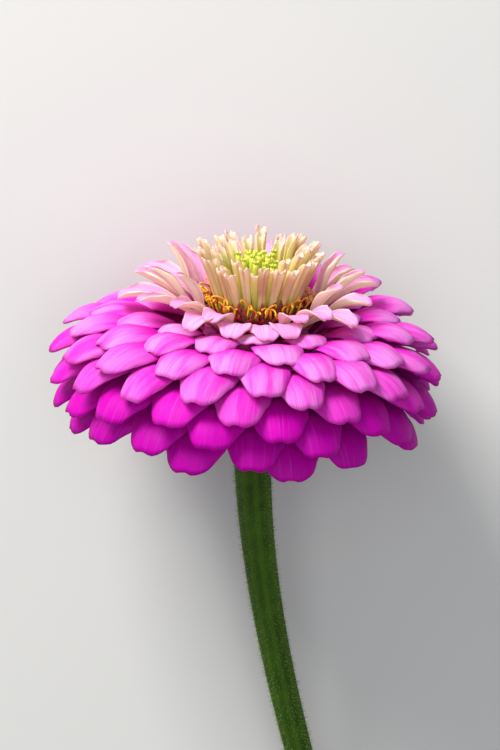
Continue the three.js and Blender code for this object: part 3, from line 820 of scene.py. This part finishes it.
# %% The half-open florets
HALF_COUNT = 30
HALF_ROOTS = {"low": 19.8, "high": 20.4, "sunk": 1.5}
HALF_CORE = {"low": 18.7, "high": 21.8, "bottom": 8.8, "top": 11.2}
HALF_KEYS = (*GUIDE_KEYS, "roll")
HALF_GUIDE = [
    dict(zip(HALF_KEYS, line))
    for line in (
        (0.0, 27.0, 25.2, -14, 32, 6.8, 1.2),
        (0.45, 24.6, 28.6, 12, 30, 5.8, 1.7),
        (0.75, 20.6, 32.4, 42, 32, 5.0, 2.2),
        (1.0, 17.4, 34.0, 61, 34, 4.6, 2.6),
    )
]
HALF_LOW = dict(zip(HALF_KEYS[1:], (20.9, 22.4, -62, 47, 6.6, -0.3)))
HALF_LOW_SPREAD = radians(46)
HALF_ROOT_ROLL = 0.7
HALF_WANDER = {"radius": 0.8, "height": 0.8, "slope": 8, "roll": 0.12, "twist": 0.1}
LOW_TONE = 0.4  # what lying low adds to a floret's tone
# The half-open florets' base is coloured dark magenta as painted shade, seen only in the gaps between
# them.
HALF_BASE_SHADE = srgb(176, 2, 124)
FACING_UP = -pi / 2


def half_seed(index):
    share = index / (HALF_COUNT - 1)
    turn = RAY_START + (RAY_COUNT + index) * GOLDEN_ANGLE
    low = exp(-((angle_between(turn, FACING_UP) / HALF_LOW_SPREAD) ** 2))
    line = guided(HALF_GUIDE, share)
    for key, value in HALF_LOW.items():
        line[key] = mix(line[key], value, low)
    wander = HALF_WANDER
    tip = (
        line["radius"] * (1 - LEFT_LONGER * cos(turn)) + wander["radius"] * (1 - low) * draw(index, 7),
        line["height"] + wander["height"] * (1 - low) * draw(index, 8),
    )
    return blade_seed(
        (HALF_CORE["top"] - HALF_ROOTS["sunk"], mix(HALF_ROOTS["low"], HALF_ROOTS["high"], share)),
        tip,
        (line["root_slope"], line["tip_slope"] + wander["slope"] * (1 - low) * draw(index, 9)),
        turn,
        line["width"],
        (HALF_ROOT_ROLL, line["roll"] + wander["roll"] * draw(index, 10)),
        wander["twist"] * draw(index, 11),
        draw_share(index, 32),
        1.0 + LOW_TONE * low,
    )


HALF_OPEN_BLADE = {
    **OPEN_BLADE,
    "Thickness": 0.36 * MM,
    "Claw Width": 0.2,
    "Claw End": 0.1,
    "Full Width From": 0.7,
    "Tip Narrowing": 0.22,
    "Roundness": 0.16,
    "Pleats": 0.08 * MM,
    "Ruffle": 0.12 * MM,
    "Finish": HALF_OPEN_SKIN,
}
half_seeds = [half_seed(index) for index in range(HALF_COUNT)]
half_open = grow("half_open_blades", "blade", half_seeds, HALF_OPEN_BLADE)
belongs(half_open, "half_open_florets")
half_profile = [
    (0, HALF_CORE["low"]),
    (HALF_CORE["bottom"], HALF_CORE["low"]),
    (HALF_CORE["top"], HALF_CORE["high"]),
    (0, HALF_CORE["high"]),
]
# Painted shade: this base's colour stands for the shadow between the half-open florets.
half_base_shade_skin = plain_material("half_open_base", HALF_BASE_SHADE, 0.7)
half_base = turned("half_open_base", half_profile, 40, half_base_shade_skin)
belongs(half_base, "half_open_florets")

# %% [markdown]
# The rolled florets stand in a crown: the same strip again, rolled until its edges nearly meet. Some
# are rolled less than others, and their ends are cut slantwise and notched.

# %% The crown of rolled florets
HUB = {"low": 22.1, "high": 24.6, "radius": 8.3}
TUBE_ROWS = [
    {"radius": 7.4, "mouth": 12.0, "height": 34.5, "rise": 0.6, "count": 23},
    {"radius": 5.9, "mouth": 9.2, "height": 34.8, "rise": 1.2, "count": 16},
]
TUBE = {"root_radius": 0.62, "mouth_radius": 0.92, "roll": 3.0, "width": 0.97, "sunk": 1}
TUBE_ROOT_ROLL = 0.15  # how much more the root is rolled than the rest
TUBE_TIP_SLOPE = 4  # how much less the tip rises than the root, in degrees
TUBE_WANDER = {
    "turn": 0.05,
    "mouth": 0.8,
    "top": 1.3,
    "roll": 0.26,
    "width": 0.1,
    "tip_roll": 0.2,
    "slope": 5,
}
CROWN_BASE = srgb(176, 160, 60)


def tube_seed(row, row_index, index):
    even_turn = RAY_START + (index + 0.5 * row_index) / row["count"] * 2 * pi
    wander = TUBE_WANDER
    turn = even_turn + wander["turn"] * draw(index, 12 + row_index)
    mouth = row["mouth"] + wander["mouth"] * draw(index, 14 + row_index)
    top = row["height"] + row["rise"] * sin(turn) + wander["top"] * draw(index, 16 + row_index)
    root = (row["radius"] + TUBE["root_radius"], HUB["high"] - TUBE["sunk"])
    tip = (mouth + TUBE["mouth_radius"], top)
    slope = degrees(atan2(tip[1] - root[1], tip[0] - root[0]))
    closed = 1 - wander["roll"] * abs(draw(index, 64 + row_index))
    roll = TUBE["roll"] * closed
    fullness = TUBE["width"] + wander["width"] * draw(index, 60 + row_index)
    width = 2 * roll * TUBE["mouth_radius"] * fullness
    lot = draw_share(index, 34 + row_index)
    rolls = (roll + TUBE_ROOT_ROLL, roll - wander["tip_roll"] * abs(draw(index, 42 + row_index)))
    out = slope + wander["slope"] * draw(index, 44 + row_index)
    over = slope - TUBE_TIP_SLOPE + wander["slope"] * draw(index, 46 + row_index)
    return blade_seed(root, tip, (out, over), turn, width, rolls, 0.0, lot, 1.0 - row_index)


ROLLED_BLADE = {
    **OPEN_BLADE,
    "Columns": 23,
    "Rows": 15,
    "Thickness": 0.34 * MM,
    "Claw Width": TUBE["root_radius"] / TUBE["mouth_radius"],
    "Claw End": 0.0,
    "Full Width From": 1.0,
    "Tip Narrowing": 0.0,
    "Roundness": 0.2,
    "Notch": 0.05,
    "Pleats": 0.05 * MM,
    "Ruffle": 0.1 * MM,
    "Flare": 0.04,
    "Finish": ROLLED_SKIN,
}
tube_seeds = [tube_seed(row, n, i) for n, row in enumerate(TUBE_ROWS) for i in range(row["count"])]
rolled = grow("rolled_floret_blades", "blade", tube_seeds, ROLLED_BLADE)
belongs(rolled, "rolled_florets")
hub_profile = [
    (0, HUB["low"]),
    (HUB["radius"], HUB["low"]),
    (HUB["radius"], HUB["high"]),
    (0, HUB["high"]),
]
hub = turned("crown_base", hub_profile, 40, plain_material("crown_base", CROWN_BASE, 0.7))
belongs(hub, "rolled_florets")


# %% [markdown]
# Strands take seeds too. A strand's seed holds the four points of its curve, its three girths, how flat
# it is, and a direction that its flat side keeps to.


# %% A strand's seed
def strand_seed(points, girths, aside, flat=1.0, lot=0.5):
    curve = {f"p{i}": Vector(point) * MM for i, point in enumerate(points)}
    numbers = {"girth": Vector(girths) * MM, "aside": Vector(aside), "flat": flat, "lot": lot}
    return {**curve, **numbers}


def sideways(turn):
    return Vector((-sin(turn), cos(turn), 0.0))


# %% [markdown]
# Round the crown's foot stands a ring of dark chaff, and out of it come the styles of the ray florets:
# bright, thin and forked, each with two curling arms. Close up they are what makes a zinnia's face.

# %% Chaff and styles
CHAFF_RING = {"low": 22.1, "high": 23.3, "inner": 8.6, "outer": 10.3}
SCALE_COUNT = 84
SCALE_GIRTHS = (0.5, 0.85, 0.05)
SCALE_FLATNESS = 0.35
SCALE = {"foot": 22.4, "waist": 23.2, "belly": 0.2, "shoulder": 0.8}
SCALE_ROWS = [
    {"out": 9.7, "top": 26.2, "uneven": 1.5, "lean": -0.1},
    {"out": 10.35, "top": 24.4, "uneven": 0.4, "lean": 0.7},
]
SCALE_WANDER = {"turn": 0.05, "out": 0.3}
STYLE_COUNT = 36
STALK_GIRTHS = (0.22, 0.22, 0.2)
ARM_GIRTHS = (0.19, 0.21, 0.12)
STYLE = {
    "foot_radius": 9.6,
    "foot_height": 22.9,
    "fork_radius": 10.4,
    "fork_height": 25.3,
    "reach": 1.0,
    "bend": 1.0,
    "curl": 0.2,
    "knee": 0.7,
}
STYLE_WANDER = {
    "turn": 0.09,
    "lean": 0.05,
    "fork_radius": 0.7,
    "fork_height": 1.2,
    "reach": 0.8,
    "bend": 1.1,
    "curl": 0.9,
    "knee": 0.8,
}
SCALE_MAROON = srgb(74, 4, 12)
SCALE_RED = srgb(158, 22, 18)
SCALE_RUST = srgb(196, 84, 30)
STYLE_ORANGE = srgb(214, 92, 14)
STYLE_GOLD = srgb(250, 186, 30)
STYLE_YELLOW = srgb(255, 214, 60)
RING_MAROON = srgb(90, 20, 22)


def chaff_material():
    material, bench = new_material("chaff_skin")
    along = noted_value(bench, "along")
    place = bench.put("ShaderNodeTexCoord", {}, {}, "Object")
    grain = clouds(bench, place, 1400.0)
    colour = blend(bench, along.eased(0.3, 1.0), SCALE_MAROON, SCALE_RED)
    colour = blend(bench, grain.eased(0.5, 0.7) * 0.4, colour, SCALE_RUST)
    finish(bench, colour, 0.6)
    return material


def style_material():
    material, bench = new_material("style_skin")
    along = noted_value(bench, "along")
    lot = noted_value(bench, "lot")
    colour = blend(bench, along.eased(0.0, 0.8), STYLE_ORANGE, STYLE_GOLD)
    colour = blend(bench, lot * 0.35, colour, STYLE_YELLOW)
    finish(bench, colour, 0.45, **{"Specular IOR Level": 0.4})
    return material


def scale_seed(index):
    """Every other scale stands low and leans out, over the ring's edge."""
    row = SCALE_ROWS[index % 2]
    turn = (index / SCALE_COUNT) * 2 * pi + SCALE_WANDER["turn"] * draw(index, 21)
    out = row["out"] + SCALE_WANDER["out"] * draw(index, 22)
    top = row["top"] + row["uneven"] * draw(index, 23)
    points = (
        polar(out, turn, SCALE["foot"]),
        polar(out + SCALE["belly"], turn, SCALE["waist"]),
        polar(out + row["lean"], turn, top - SCALE["shoulder"]),
        polar(out + row["lean"], turn, top),
    )
    return strand_seed(points, SCALE_GIRTHS, sideways(turn), SCALE_FLATNESS)


def style_seeds(index):
    """A stalk and its two curling arms."""
    wander = STYLE_WANDER
    turn = ((index + 0.5) / STYLE_COUNT) * 2 * pi + wander["turn"] * draw(index, 24)
    lean = wander["lean"] * draw(index, 25)
    fork_radius = STYLE["fork_radius"] + wander["fork_radius"] * draw(index, 26)
    fork_height = STYLE["fork_height"] + wander["fork_height"] * draw(index, 27)
    fork = polar(fork_radius, turn + lean, fork_height)
    foot = polar(STYLE["foot_radius"], turn, STYLE["foot_height"])
    lot = draw_share(index, 36)
    points = (foot, foot + UPWARD, fork - UPWARD, fork)
    stalk = strand_seed(points, STALK_GIRTHS, sideways(turn), 1.0, lot)
    arms = []
    for hand in (-1, 1):
        over = sideways(turn) * hand
        outward = polar(1, turn, 0)
        reach = STYLE["reach"] + wander["reach"] * draw(index, 28 + hand)
        bend = STYLE["bend"] + wander["bend"] * draw(index, 40 + hand)
        curl_rise = STYLE["curl"] + wander["curl"] * draw(index, 48 + hand)
        knee_rise = STYLE["knee"] + wander["knee"] * draw(index, 52 + hand)
        curl = fork + over * reach + outward * bend + UPWARD * curl_rise
        knee = curl + UPWARD * knee_rise + over * 0.6
        points = (fork, fork + UPWARD * 0.6 + over * 0.3, knee, curl)
        arms.append(strand_seed(points, ARM_GIRTHS, outward, 1.0, lot))
    return [stalk, *arms]


chaff = grow(
    "chaff_scales",
    "strand",
    [scale_seed(i) for i in range(SCALE_COUNT)],
    {"Sides": 8, "Rings": 8, "Ribs": 0.0, "Rib Depth": 0.0, "Finish": chaff_material()},
)
styles = grow(
    "forked_styles",
    "strand",
    [seed for i in range(STYLE_COUNT) for seed in style_seeds(i)],
    {"Sides": 6, "Rings": 10, "Ribs": 0.0, "Rib Depth": 0.0, "Finish": style_material()},
)
ring_profile = [
    (CHAFF_RING["inner"], CHAFF_RING["low"]),
    (CHAFF_RING["outer"], CHAFF_RING["low"]),
    (CHAFF_RING["outer"] - 0.3, CHAFF_RING["high"]),
    (CHAFF_RING["inner"], CHAFF_RING["high"]),
]
ring_skin = plain_material("chaff_ring", RING_MAROON, 0.8)
chaff_ring = turned("chaff_ring", ring_profile, 48, ring_skin)
for piece in (chaff, styles, chaff_ring):
    belongs(piece, "chaff_and_styles")

# %% [markdown]
# The eye is a dome of young florets that have not opened. Each is a small yellow-green bottle with five
# pointed lobes at its mouth, closed near the middle and spreading at the edge.

# %% The eye
EYE = {"low": 24.9, "high": 29.4, "radius": 4.7}
BUD_COUNT = 20
BUD_GIRTHS = (0.45, 0.8, 0.55)
BUD = {
    "spread": 4.0,
    "splay": 1.08,
    "middle_sunk": 0.6,
    "edge_rise": 1.6,
    "middle_top": 34.1,
    "edge_top": 33.2,
    "wander": 0.8,
}
LOBES = 5
LOBE_GIRTHS = (0.3, 0.42, 0.08)
LOBE_FLATNESS = 0.6
LOBE = {
    "root": 0.32,
    "sunk": 0.4,
    "closed": 0.2,
    "open": 0.75,
    "middle_rise": 0.7,
    "edge_rise": 0.35,
}
BUD_GREEN = srgb(146, 178, 20)
BUD_YELLOW = srgb(236, 240, 92)
BUD_PALE = srgb(240, 232, 120)
BUD_GLOW = (srgb(210, 230, 60), 0.15)
DOME_GREEN = srgb(160, 176, 50)


def eye_material():
    material, bench = new_material("eye_skin")
    along = noted_value(bench, "along")
    lot = noted_value(bench, "lot")
    colour = blend(bench, along.eased(0.2, 1.0), BUD_GREEN, BUD_YELLOW)
    colour = blend(bench, lot * 0.3, colour, BUD_PALE)
    finish(bench, colour, 0.45, None, BUD_GLOW)
    return material


def bud_seeds(index):
    """A bottle and the lobes at its mouth."""
    share = sqrt((index + 0.5) / BUD_COUNT)
    out = BUD["spread"] * share
    turn = index * GOLDEN_ANGLE
    root = mix(EYE["high"] - BUD["middle_sunk"], EYE["low"] + BUD["edge_rise"], share**3)
    top = mix(BUD["middle_top"], BUD["edge_top"], share) + BUD["wander"] * draw(index, 20)
    lot = draw_share(index, 37)
    foot, mouth = polar(out, turn, root), polar(BUD["splay"] * out, turn, top)
    points = (foot, foot.lerp(mouth, 0.33), foot.lerp(mouth, 0.66), mouth)
    seeds = [strand_seed(points, BUD_GIRTHS, (1, 0, 0), 1.0, lot)]
    spread = mix(LOBE["closed"], LOBE["open"], share)
    rise = mix(LOBE["middle_rise"], LOBE["edge_rise"], share)
    for lobe in range(LOBES):
        way = polar(1, turn + 2 * pi * lobe / LOBES, 0)
        base = mouth + way * LOBE["root"] - UPWARD * LOBE["sunk"]
        tip = mouth + way * spread + UPWARD * rise
        points = (base, base + UPWARD * LOBE["sunk"] + way * 0.05, tip - way * 0.2, tip)
        seeds.append(strand_seed(points, LOBE_GIRTHS, way.cross(UPWARD), LOBE_FLATNESS, lot))
    return seeds


eye_inputs = {"Sides": 8, "Rings": 6, "Ribs": 0.0, "Rib Depth": 0.0, "Finish": eye_material()}
eye_seeds = [seed for index in range(BUD_COUNT) for seed in bud_seeds(index)]
eye = grow("eye_florets", "strand", eye_seeds, eye_inputs)
eye_profile = [
    (0, EYE["low"]),
    (EYE["radius"], EYE["low"]),
    (0.9 * EYE["radius"], mix(EYE["low"], EYE["high"], 0.5)),
    (0.5 * EYE["radius"], EYE["high"]),
    (0, EYE["high"]),
]
dome = turned("eye_dome", eye_profile, 32, plain_material("eye_dome", DOME_GREEN, 0.7))
for piece in (eye, dome):
    belongs(piece, "eye_buds")

# %% [markdown]
# The stem swells under the cup and bends to one side until its cut end rests on the surface. Its skin is
# faintly ribbed, like that of most composite flowers, and the ribs take the light in lines, with lighter
# stripes painted on their crests as a painted highlight.

# %% The stem
STEM_RADIUS = 2.85
STEM_NECK_RADIUS = 3.9
STEM_WAIST = 0.25  # how much thinner the middle is drawn than the end
STEM_TOP = -4.8
STEM_REACH = 112.0
STEM_SWAY = 23.5
END_PRESSED = 0.22
STEM_RIBS = 9
STEM_DARK = srgb(34, 64, 0)
STEM_GREEN = srgb(50, 84, 0)
STEM_RIB_HIGHLIGHT = srgb(66, 100, 8)
STEM_FIBRE = srgb(96, 126, 26)
STEM_FUZZ = srgb(150, 190, 96)
PITH_GREEN = srgb(150, 166, 84)
PITH_PALE = srgb(196, 204, 150)
level_height = HEAD_HEIGHT - STEM_REACH * sin(HEAD_LEAN)
end_drop = (level_height - STEM_RADIUS * cos(HEAD_LEAN) + END_PRESSED) / cos(HEAD_LEAN)
STEM_CURVE = [
    Vector((0, 0, STEM_TOP)),
    Vector((0.04 * STEM_SWAY, 0, -0.36 * STEM_REACH)),
    Vector((0.52 * STEM_SWAY, 0, -0.68 * STEM_REACH)),
    Vector((STEM_SWAY, end_drop, -STEM_REACH)),
]


def on_curve(points, share):
    """The place and heading on a cubic curve."""
    back = 1 - share
    first, second, third, last = points
    place = back**3 * first + 3 * back**2 * share * second
    place += 3 * back * share**2 * third + share**3 * last
    heading = back**2 * (second - first) + 2 * back * share * (third - second)
    heading += share**2 * (last - third)
    return place, heading.normalized()


def stem_material():
    material, bench = new_material("stem_skin")
    along = noted_value(bench, "along")
    around = noted_value(bench, "around")
    place = bench.put("ShaderNodeTexCoord", {}, {}, "Object")
    mottle = clouds(bench, place, 260.0, 4.0)
    drawn_out = bench.vector(around.of("SINE") * 9, around.of("COSINE") * 9, along * 14)
    fibres = clouds(bench, drawn_out, 3.2)
    stripes = (around * STEM_RIBS).of("COSINE") * 0.5 + 0.5
    colour = blend(bench, mottle.eased(0.3, 0.7), STEM_DARK, STEM_GREEN)
    # Painted highlight: the rib crests are painted lighter, where they take the light.
    colour = blend(bench, stripes.eased(0.2, 0.9) * 0.45, colour, STEM_RIB_HIGHLIGHT)
    colour = blend(bench, fibres.eased(0.5, 0.75) * 0.3, colour, STEM_FIBRE)
    # The cut end shows pale pith inside a ring of green.
    across, other = noted_value(bench, "across"), noted_value(bench, "other")
    from_middle = (across * across + other * other).of("SQRT")
    pith = along.eased(0.9988, 0.9999) * from_middle.eased(0.86, 0.7)
    colour = blend(bench, pith, colour, PITH_GREEN)
    colour = blend(bench, pith * from_middle.eased(0.62, 0.5), colour, PITH_PALE)
    normal = bumped(bench, fibres * 0.7 + mottle * 0.3, 0.3 * MM, 0.5)
    fuzz = {"Sheen Weight": 0.3, "Sheen Roughness": 0.3, "Sheen Tint": STEM_FUZZ}
    finish(bench, colour, 0.6, normal, **{"Specular IOR Level": 0.2}, **fuzz)
    return material


stem_girth = (STEM_NECK_RADIUS, STEM_RADIUS - STEM_WAIST, STEM_RADIUS)
stem_seed = strand_seed(STEM_CURVE, stem_girth, (1, 0, 0))
stem_inputs = {"Sides": 56, "Rings": 150, "Ribs": float(STEM_RIBS), "Rib Depth": 0.018}
stem = grow("stem_skin", "strand", [stem_seed], {**stem_inputs, "Finish": stem_material()})
belongs(stem, "stem")

# %% [markdown]
# A zinnia's stem is covered in short stiff hairs. They are strands as well, some thousands of them,
# each with only a few faces. They catch the light along the stem's edges.

# %% The stem's hairs
HAIR_COUNT = 3600
HAIR_GIRTHS = (0.055, 0.05, 0.012)
HAIR = {"first": 0.02, "span": 0.97, "length": 0.62, "sunk": 0.12, "droop": 0.25}
HAIR_WANDER = {"turn": 0.4, "length": 0.3}
HAIR_GREEN = srgb(142, 172, 72)


def hair_material():
    material, bench = new_material("hair_skin")
    finish(bench, HAIR_GREEN, 0.5)
    return material


def hair_seed(index):
    share = (index + 0.5) / HAIR_COUNT
    place, heading = on_curve(STEM_CURVE, HAIR["first"] + HAIR["span"] * share)
    turn = index * GOLDEN_ANGLE + HAIR_WANDER["turn"] * draw(index, 50)
    across = heading.cross(Vector((0, 1, 0))).normalized()
    out = across * cos(turn) + heading.cross(across) * sin(turn)
    back = 1 - share
    girth = back**2 * stem_girth[0] + 2 * back * share * stem_girth[1] + share**2 * stem_girth[2]
    foot = place + out * (girth - HAIR["sunk"])
    length = HAIR["length"] + HAIR_WANDER["length"] * draw(index, 51)
    droop = heading * (HAIR["droop"] * length * draw(index, 52))
    tip = foot + out * (length + HAIR["sunk"]) + droop
    points = (foot, foot.lerp(tip, 0.4), foot.lerp(tip, 0.7) + droop * 0.4, tip)
    return strand_seed(points, HAIR_GIRTHS, heading)


hair_inputs = {"Sides": 3, "Rings": 2, "Ribs": 0.0, "Rib Depth": 0.0, "Finish": hair_material()}
hairs = grow("stem_hairs", "strand", [hair_seed(i) for i in range(HAIR_COUNT)], hair_inputs)
belongs(hairs, "stem")

# %% [markdown]
# The green cup holds the head together from below. Its bracts overlap like tiles, and on a zinnia each
# has a dark margin. They are blades once more, short and broad, against a turned bowl. The innermost row
# lies flat under the petals' roots and hides the base that they grow from.

# %% The cup and its bracts
BRACT_COUNT = 19
BRACT_ROLLS = (0.22, 0.12)
BRACT = {
    "low_tip": -3.2,
    "high_tip": 2.7,
    "length": 3.4,
    "clear": 0.6,
    "sunk": 0.6,
    "proud": 0.9,
    "root_slopes": (30, 66),
    "tip_slopes": (64, 70),
    "widths": (5.0, 6.6),
}
COLLAR = {
    "count": 18,
    "inner": 9.7,
    "outer": 14.4,
    "root_height": 2.88,
    "tip_height": 4.14,
    "slope": 15,
    "width": 6.2,
    "rolls": (0.12, -0.2),
    "lower": 0.16,
    "wander": 0.4,
    "turn_wander": 0.2,
}
BRACT_DARK = srgb(66, 102, 20)
BRACT_GREEN = srgb(104, 140, 42)
BRACT_MARGIN = srgb(62, 24, 26)
CUP_GREEN = srgb(84, 112, 40)
SOCKET = {"radius": STEM_NECK_RADIUS + 0.42, "ceiling": STEM_TOP + 0.3, "mouth": -6.2}
CUP_TOP = 3.0
CUP_WALL = [(5.2, SOCKET["mouth"]), (7.6, -4.4), (9.2, -1.4), (10.2, CUP_TOP)]


def cup_radius(height):
    after = max(1, next(i for i, point in enumerate(CUP_WALL) if point[1] >= height))
    start, end = CUP_WALL[after - 1], CUP_WALL[after]
    return mix(start[0], end[0], (height - start[1]) / (end[1] - start[1]))


def bract_material():
    material, bench = new_material("bract_skin")
    across, along, lot = (noted_value(bench, key) for key in ("across", "along", "lot"))
    fine = clouds(bench, bench.vector(across * 8, along * 1.2, lot * 29), 1.8)
    colour = blend(bench, fine.eased(0.35, 0.65), BRACT_DARK, BRACT_GREEN)
    edge = across.of("ABSOLUTE").eased(0.68, 0.9).of("MAXIMUM", along.eased(0.84, 0.95))
    colour = blend(bench, edge * 0.85, colour, BRACT_MARGIN)
    finish(bench, colour, 0.55, bumped(bench, fine, 0.25 * MM, 0.5))
    return material


def bract_seed(index):
    share = index / (BRACT_COUNT - 1)
    tip_height = mix(BRACT["low_tip"], BRACT["high_tip"], share)
    root_height = max(tip_height - BRACT["length"], SOCKET["mouth"] + BRACT["clear"])
    return blade_seed(
        (cup_radius(root_height) - BRACT["sunk"], root_height),
        (cup_radius(tip_height) + BRACT["proud"], tip_height),
        (mix(*BRACT["root_slopes"], share), mix(*BRACT["tip_slopes"], share)),
        index * GOLDEN_ANGLE,
        mix(*BRACT["widths"], share),
        BRACT_ROLLS,
        0.0,
        draw_share(index, 38),
        1.0,
    )


def collar_seed(index):
    """Bracts of the innermost row lie flat under the petals' roots, every other one a little lower."""
    lower = COLLAR["lower"] * (index % 2)
    return blade_seed(
        (COLLAR["inner"], COLLAR["root_height"] - lower),
        (COLLAR["outer"] + COLLAR["wander"] * draw(index, 61), COLLAR["tip_height"] - lower),
        (COLLAR["slope"], COLLAR["slope"]),
        (index + COLLAR["turn_wander"] * draw(index, 62)) / COLLAR["count"] * 2 * pi,
        COLLAR["width"],
        COLLAR["rolls"],
        0.0,
        draw_share(index, 63),
        1.0,
    )


BRACT_BLADE = {
    **OPEN_BLADE,
    "Columns": 11,
    "Rows": 11,
    "Thickness": 0.5 * MM,
    "Claw Width": 0.75,
    "Claw End": 0.0,
    "Full Width From": 0.5,
    "Tip Narrowing": 0.35,
    "Roundness": 0.3,
    "Notch": 0.0,
    "Pleats": 0.03 * MM,
    "Ruffle": 0.05 * MM,
    "Finish": bract_material(),
}
bract_seeds = [bract_seed(index) for index in range(BRACT_COUNT)]
bracts = grow("cup_bracts", "blade", bract_seeds, BRACT_BLADE)
collar_seeds = [collar_seed(index) for index in range(COLLAR["count"])]
collar = grow("collar_bracts", "blade", collar_seeds, {**BRACT_BLADE, "Thickness": 0.4 * MM})
belongs(collar, "open_petals")
cup_profile = [
    (0, SOCKET["ceiling"]),
    (SOCKET["radius"], SOCKET["ceiling"]),
    (SOCKET["radius"], SOCKET["mouth"]),
    *CUP_WALL,
    (0, CUP_TOP),
]
cup = turned("cup_bowl", cup_profile, 48, plain_material("cup_bowl", CUP_GREEN, 0.6))
for piece in (bracts, cup):
    belongs(piece, "bract_cup")

# %% [markdown]
# The stage is a wide pale surface. The light is soft and comes from the head's side and from above, so
# the upper faces of the petals are bright and the lowest petals fall into shade. Pale sky all round
# fills the shadows.

# %% The surface and the light
SURFACE_HALF = 2.5
SURFACE_GREY = srgb(204, 204, 201)
SKY_COLOUR = (0.9, 0.94, 1.0, 1.0)
SKY_STRENGTH = 0.34

corners = [(-1, -1), (1, -1), (1, 1), (-1, 1)]
surface_points = [(x * SURFACE_HALF, y * SURFACE_HALF, 0.0) for x, y in corners]
surface_mesh = bpy.data.meshes.new("surface")
surface_mesh.from_pydata(surface_points, [], [(0, 1, 2, 3)])
surface = bpy.data.objects.new("surface", surface_mesh)
bpy.context.scene.collection.objects.link(surface)
surface_skin, surface_bench = new_material("pale_surface")
finish(surface_bench, SURFACE_GREY, 0.7)
surface_mesh.materials.append(surface_skin)


def soft_light(name, direction, distance, size, power, colour):
    """A square of soft light that looks at the head from a direction."""
    lamp = bpy.data.lights.new(name, "AREA")
    lamp.shape = "SQUARE"
    lamp.size = size
    lamp.energy = power
    lamp.color = colour
    light = bpy.data.objects.new(name, lamp)
    towards = Vector(direction).normalized()
    light.location = HEAD_BASE + towards * distance
    light.rotation_euler = towards.to_track_quat("Z", "Y").to_euler()
    bpy.context.scene.collection.objects.link(light)


soft_light(
    "key",
    (-0.55, 0.85, 0.5),
    distance=0.9,
    size=0.45,
    power=12.4,
    colour=(1.0, 0.97, 0.94),
)
soft_light(
    "fill",
    (0.0, -0.1, 0.95),
    distance=1.1,
    size=0.9,
    power=4.6,
    colour=(0.96, 0.98, 1.0),
)
world = bpy.data.worlds.new("pale_sky")
world.use_nodes = True
sky = world.node_tree.nodes["Background"]
sky.inputs["Color"].default_value = SKY_COLOUR
sky.inputs["Strength"].default_value = SKY_STRENGTH
bpy.context.scene.world = world
bpy.context.scene.view_settings.view_transform = "Standard"

# %% [markdown]
# The camera looks down on the lying flower, along the line from which the photograph sees the standing
# one. In the picture the head's axis then points up, as it does there. The picture's scale and the
# pixel of the head's base fix where the camera aims.

# %% The camera
FRAME_PIXELS = (500, 750)
BASE_PIXEL = (253.0, 415.0)
MM_PER_PIXEL = 0.2036
VIEW_RISE = radians(18.5)  # over the plane of the petals
VIEW_ROLL = radians(2.0)
VIEW_DISTANCE = 0.6
SENSOR = 36.0

away = Vector((0, sin(VIEW_RISE - HEAD_LEAN), cos(VIEW_RISE - HEAD_LEAN)))
level_right = Vector((1, 0, 0))
level_up = away.cross(level_right).normalized()
right = level_right * cos(VIEW_ROLL) + level_up * sin(VIEW_ROLL)
up = level_up * cos(VIEW_ROLL) - level_right * sin(VIEW_ROLL)
shift_right = (FRAME_PIXELS[0] / 2 - BASE_PIXEL[0]) * MM_PER_PIXEL * MM
shift_up = (BASE_PIXEL[1] - FRAME_PIXELS[1] / 2) * MM_PER_PIXEL * MM
aim = HEAD_BASE + right * shift_right + up * shift_up
lens = bpy.data.cameras.new("camera")
lens.sensor_width = SENSOR
lens.lens = SENSOR * VIEW_DISTANCE / (FRAME_PIXELS[1] * MM_PER_PIXEL * MM)
lens.clip_start = 0.01
camera = bpy.data.objects.new("camera", lens)
turned_to = Matrix((right, up, away)).transposed().to_4x4()
camera.matrix_world = Matrix.Translation(aim + away * VIEW_DISTANCE) @ turned_to
bpy.context.scene.collection.objects.link(camera)
bpy.context.scene.camera = camera
print("lens", round(lens.lens, 1), "mm, aim", [round(x / MM, 1) for x in aim])
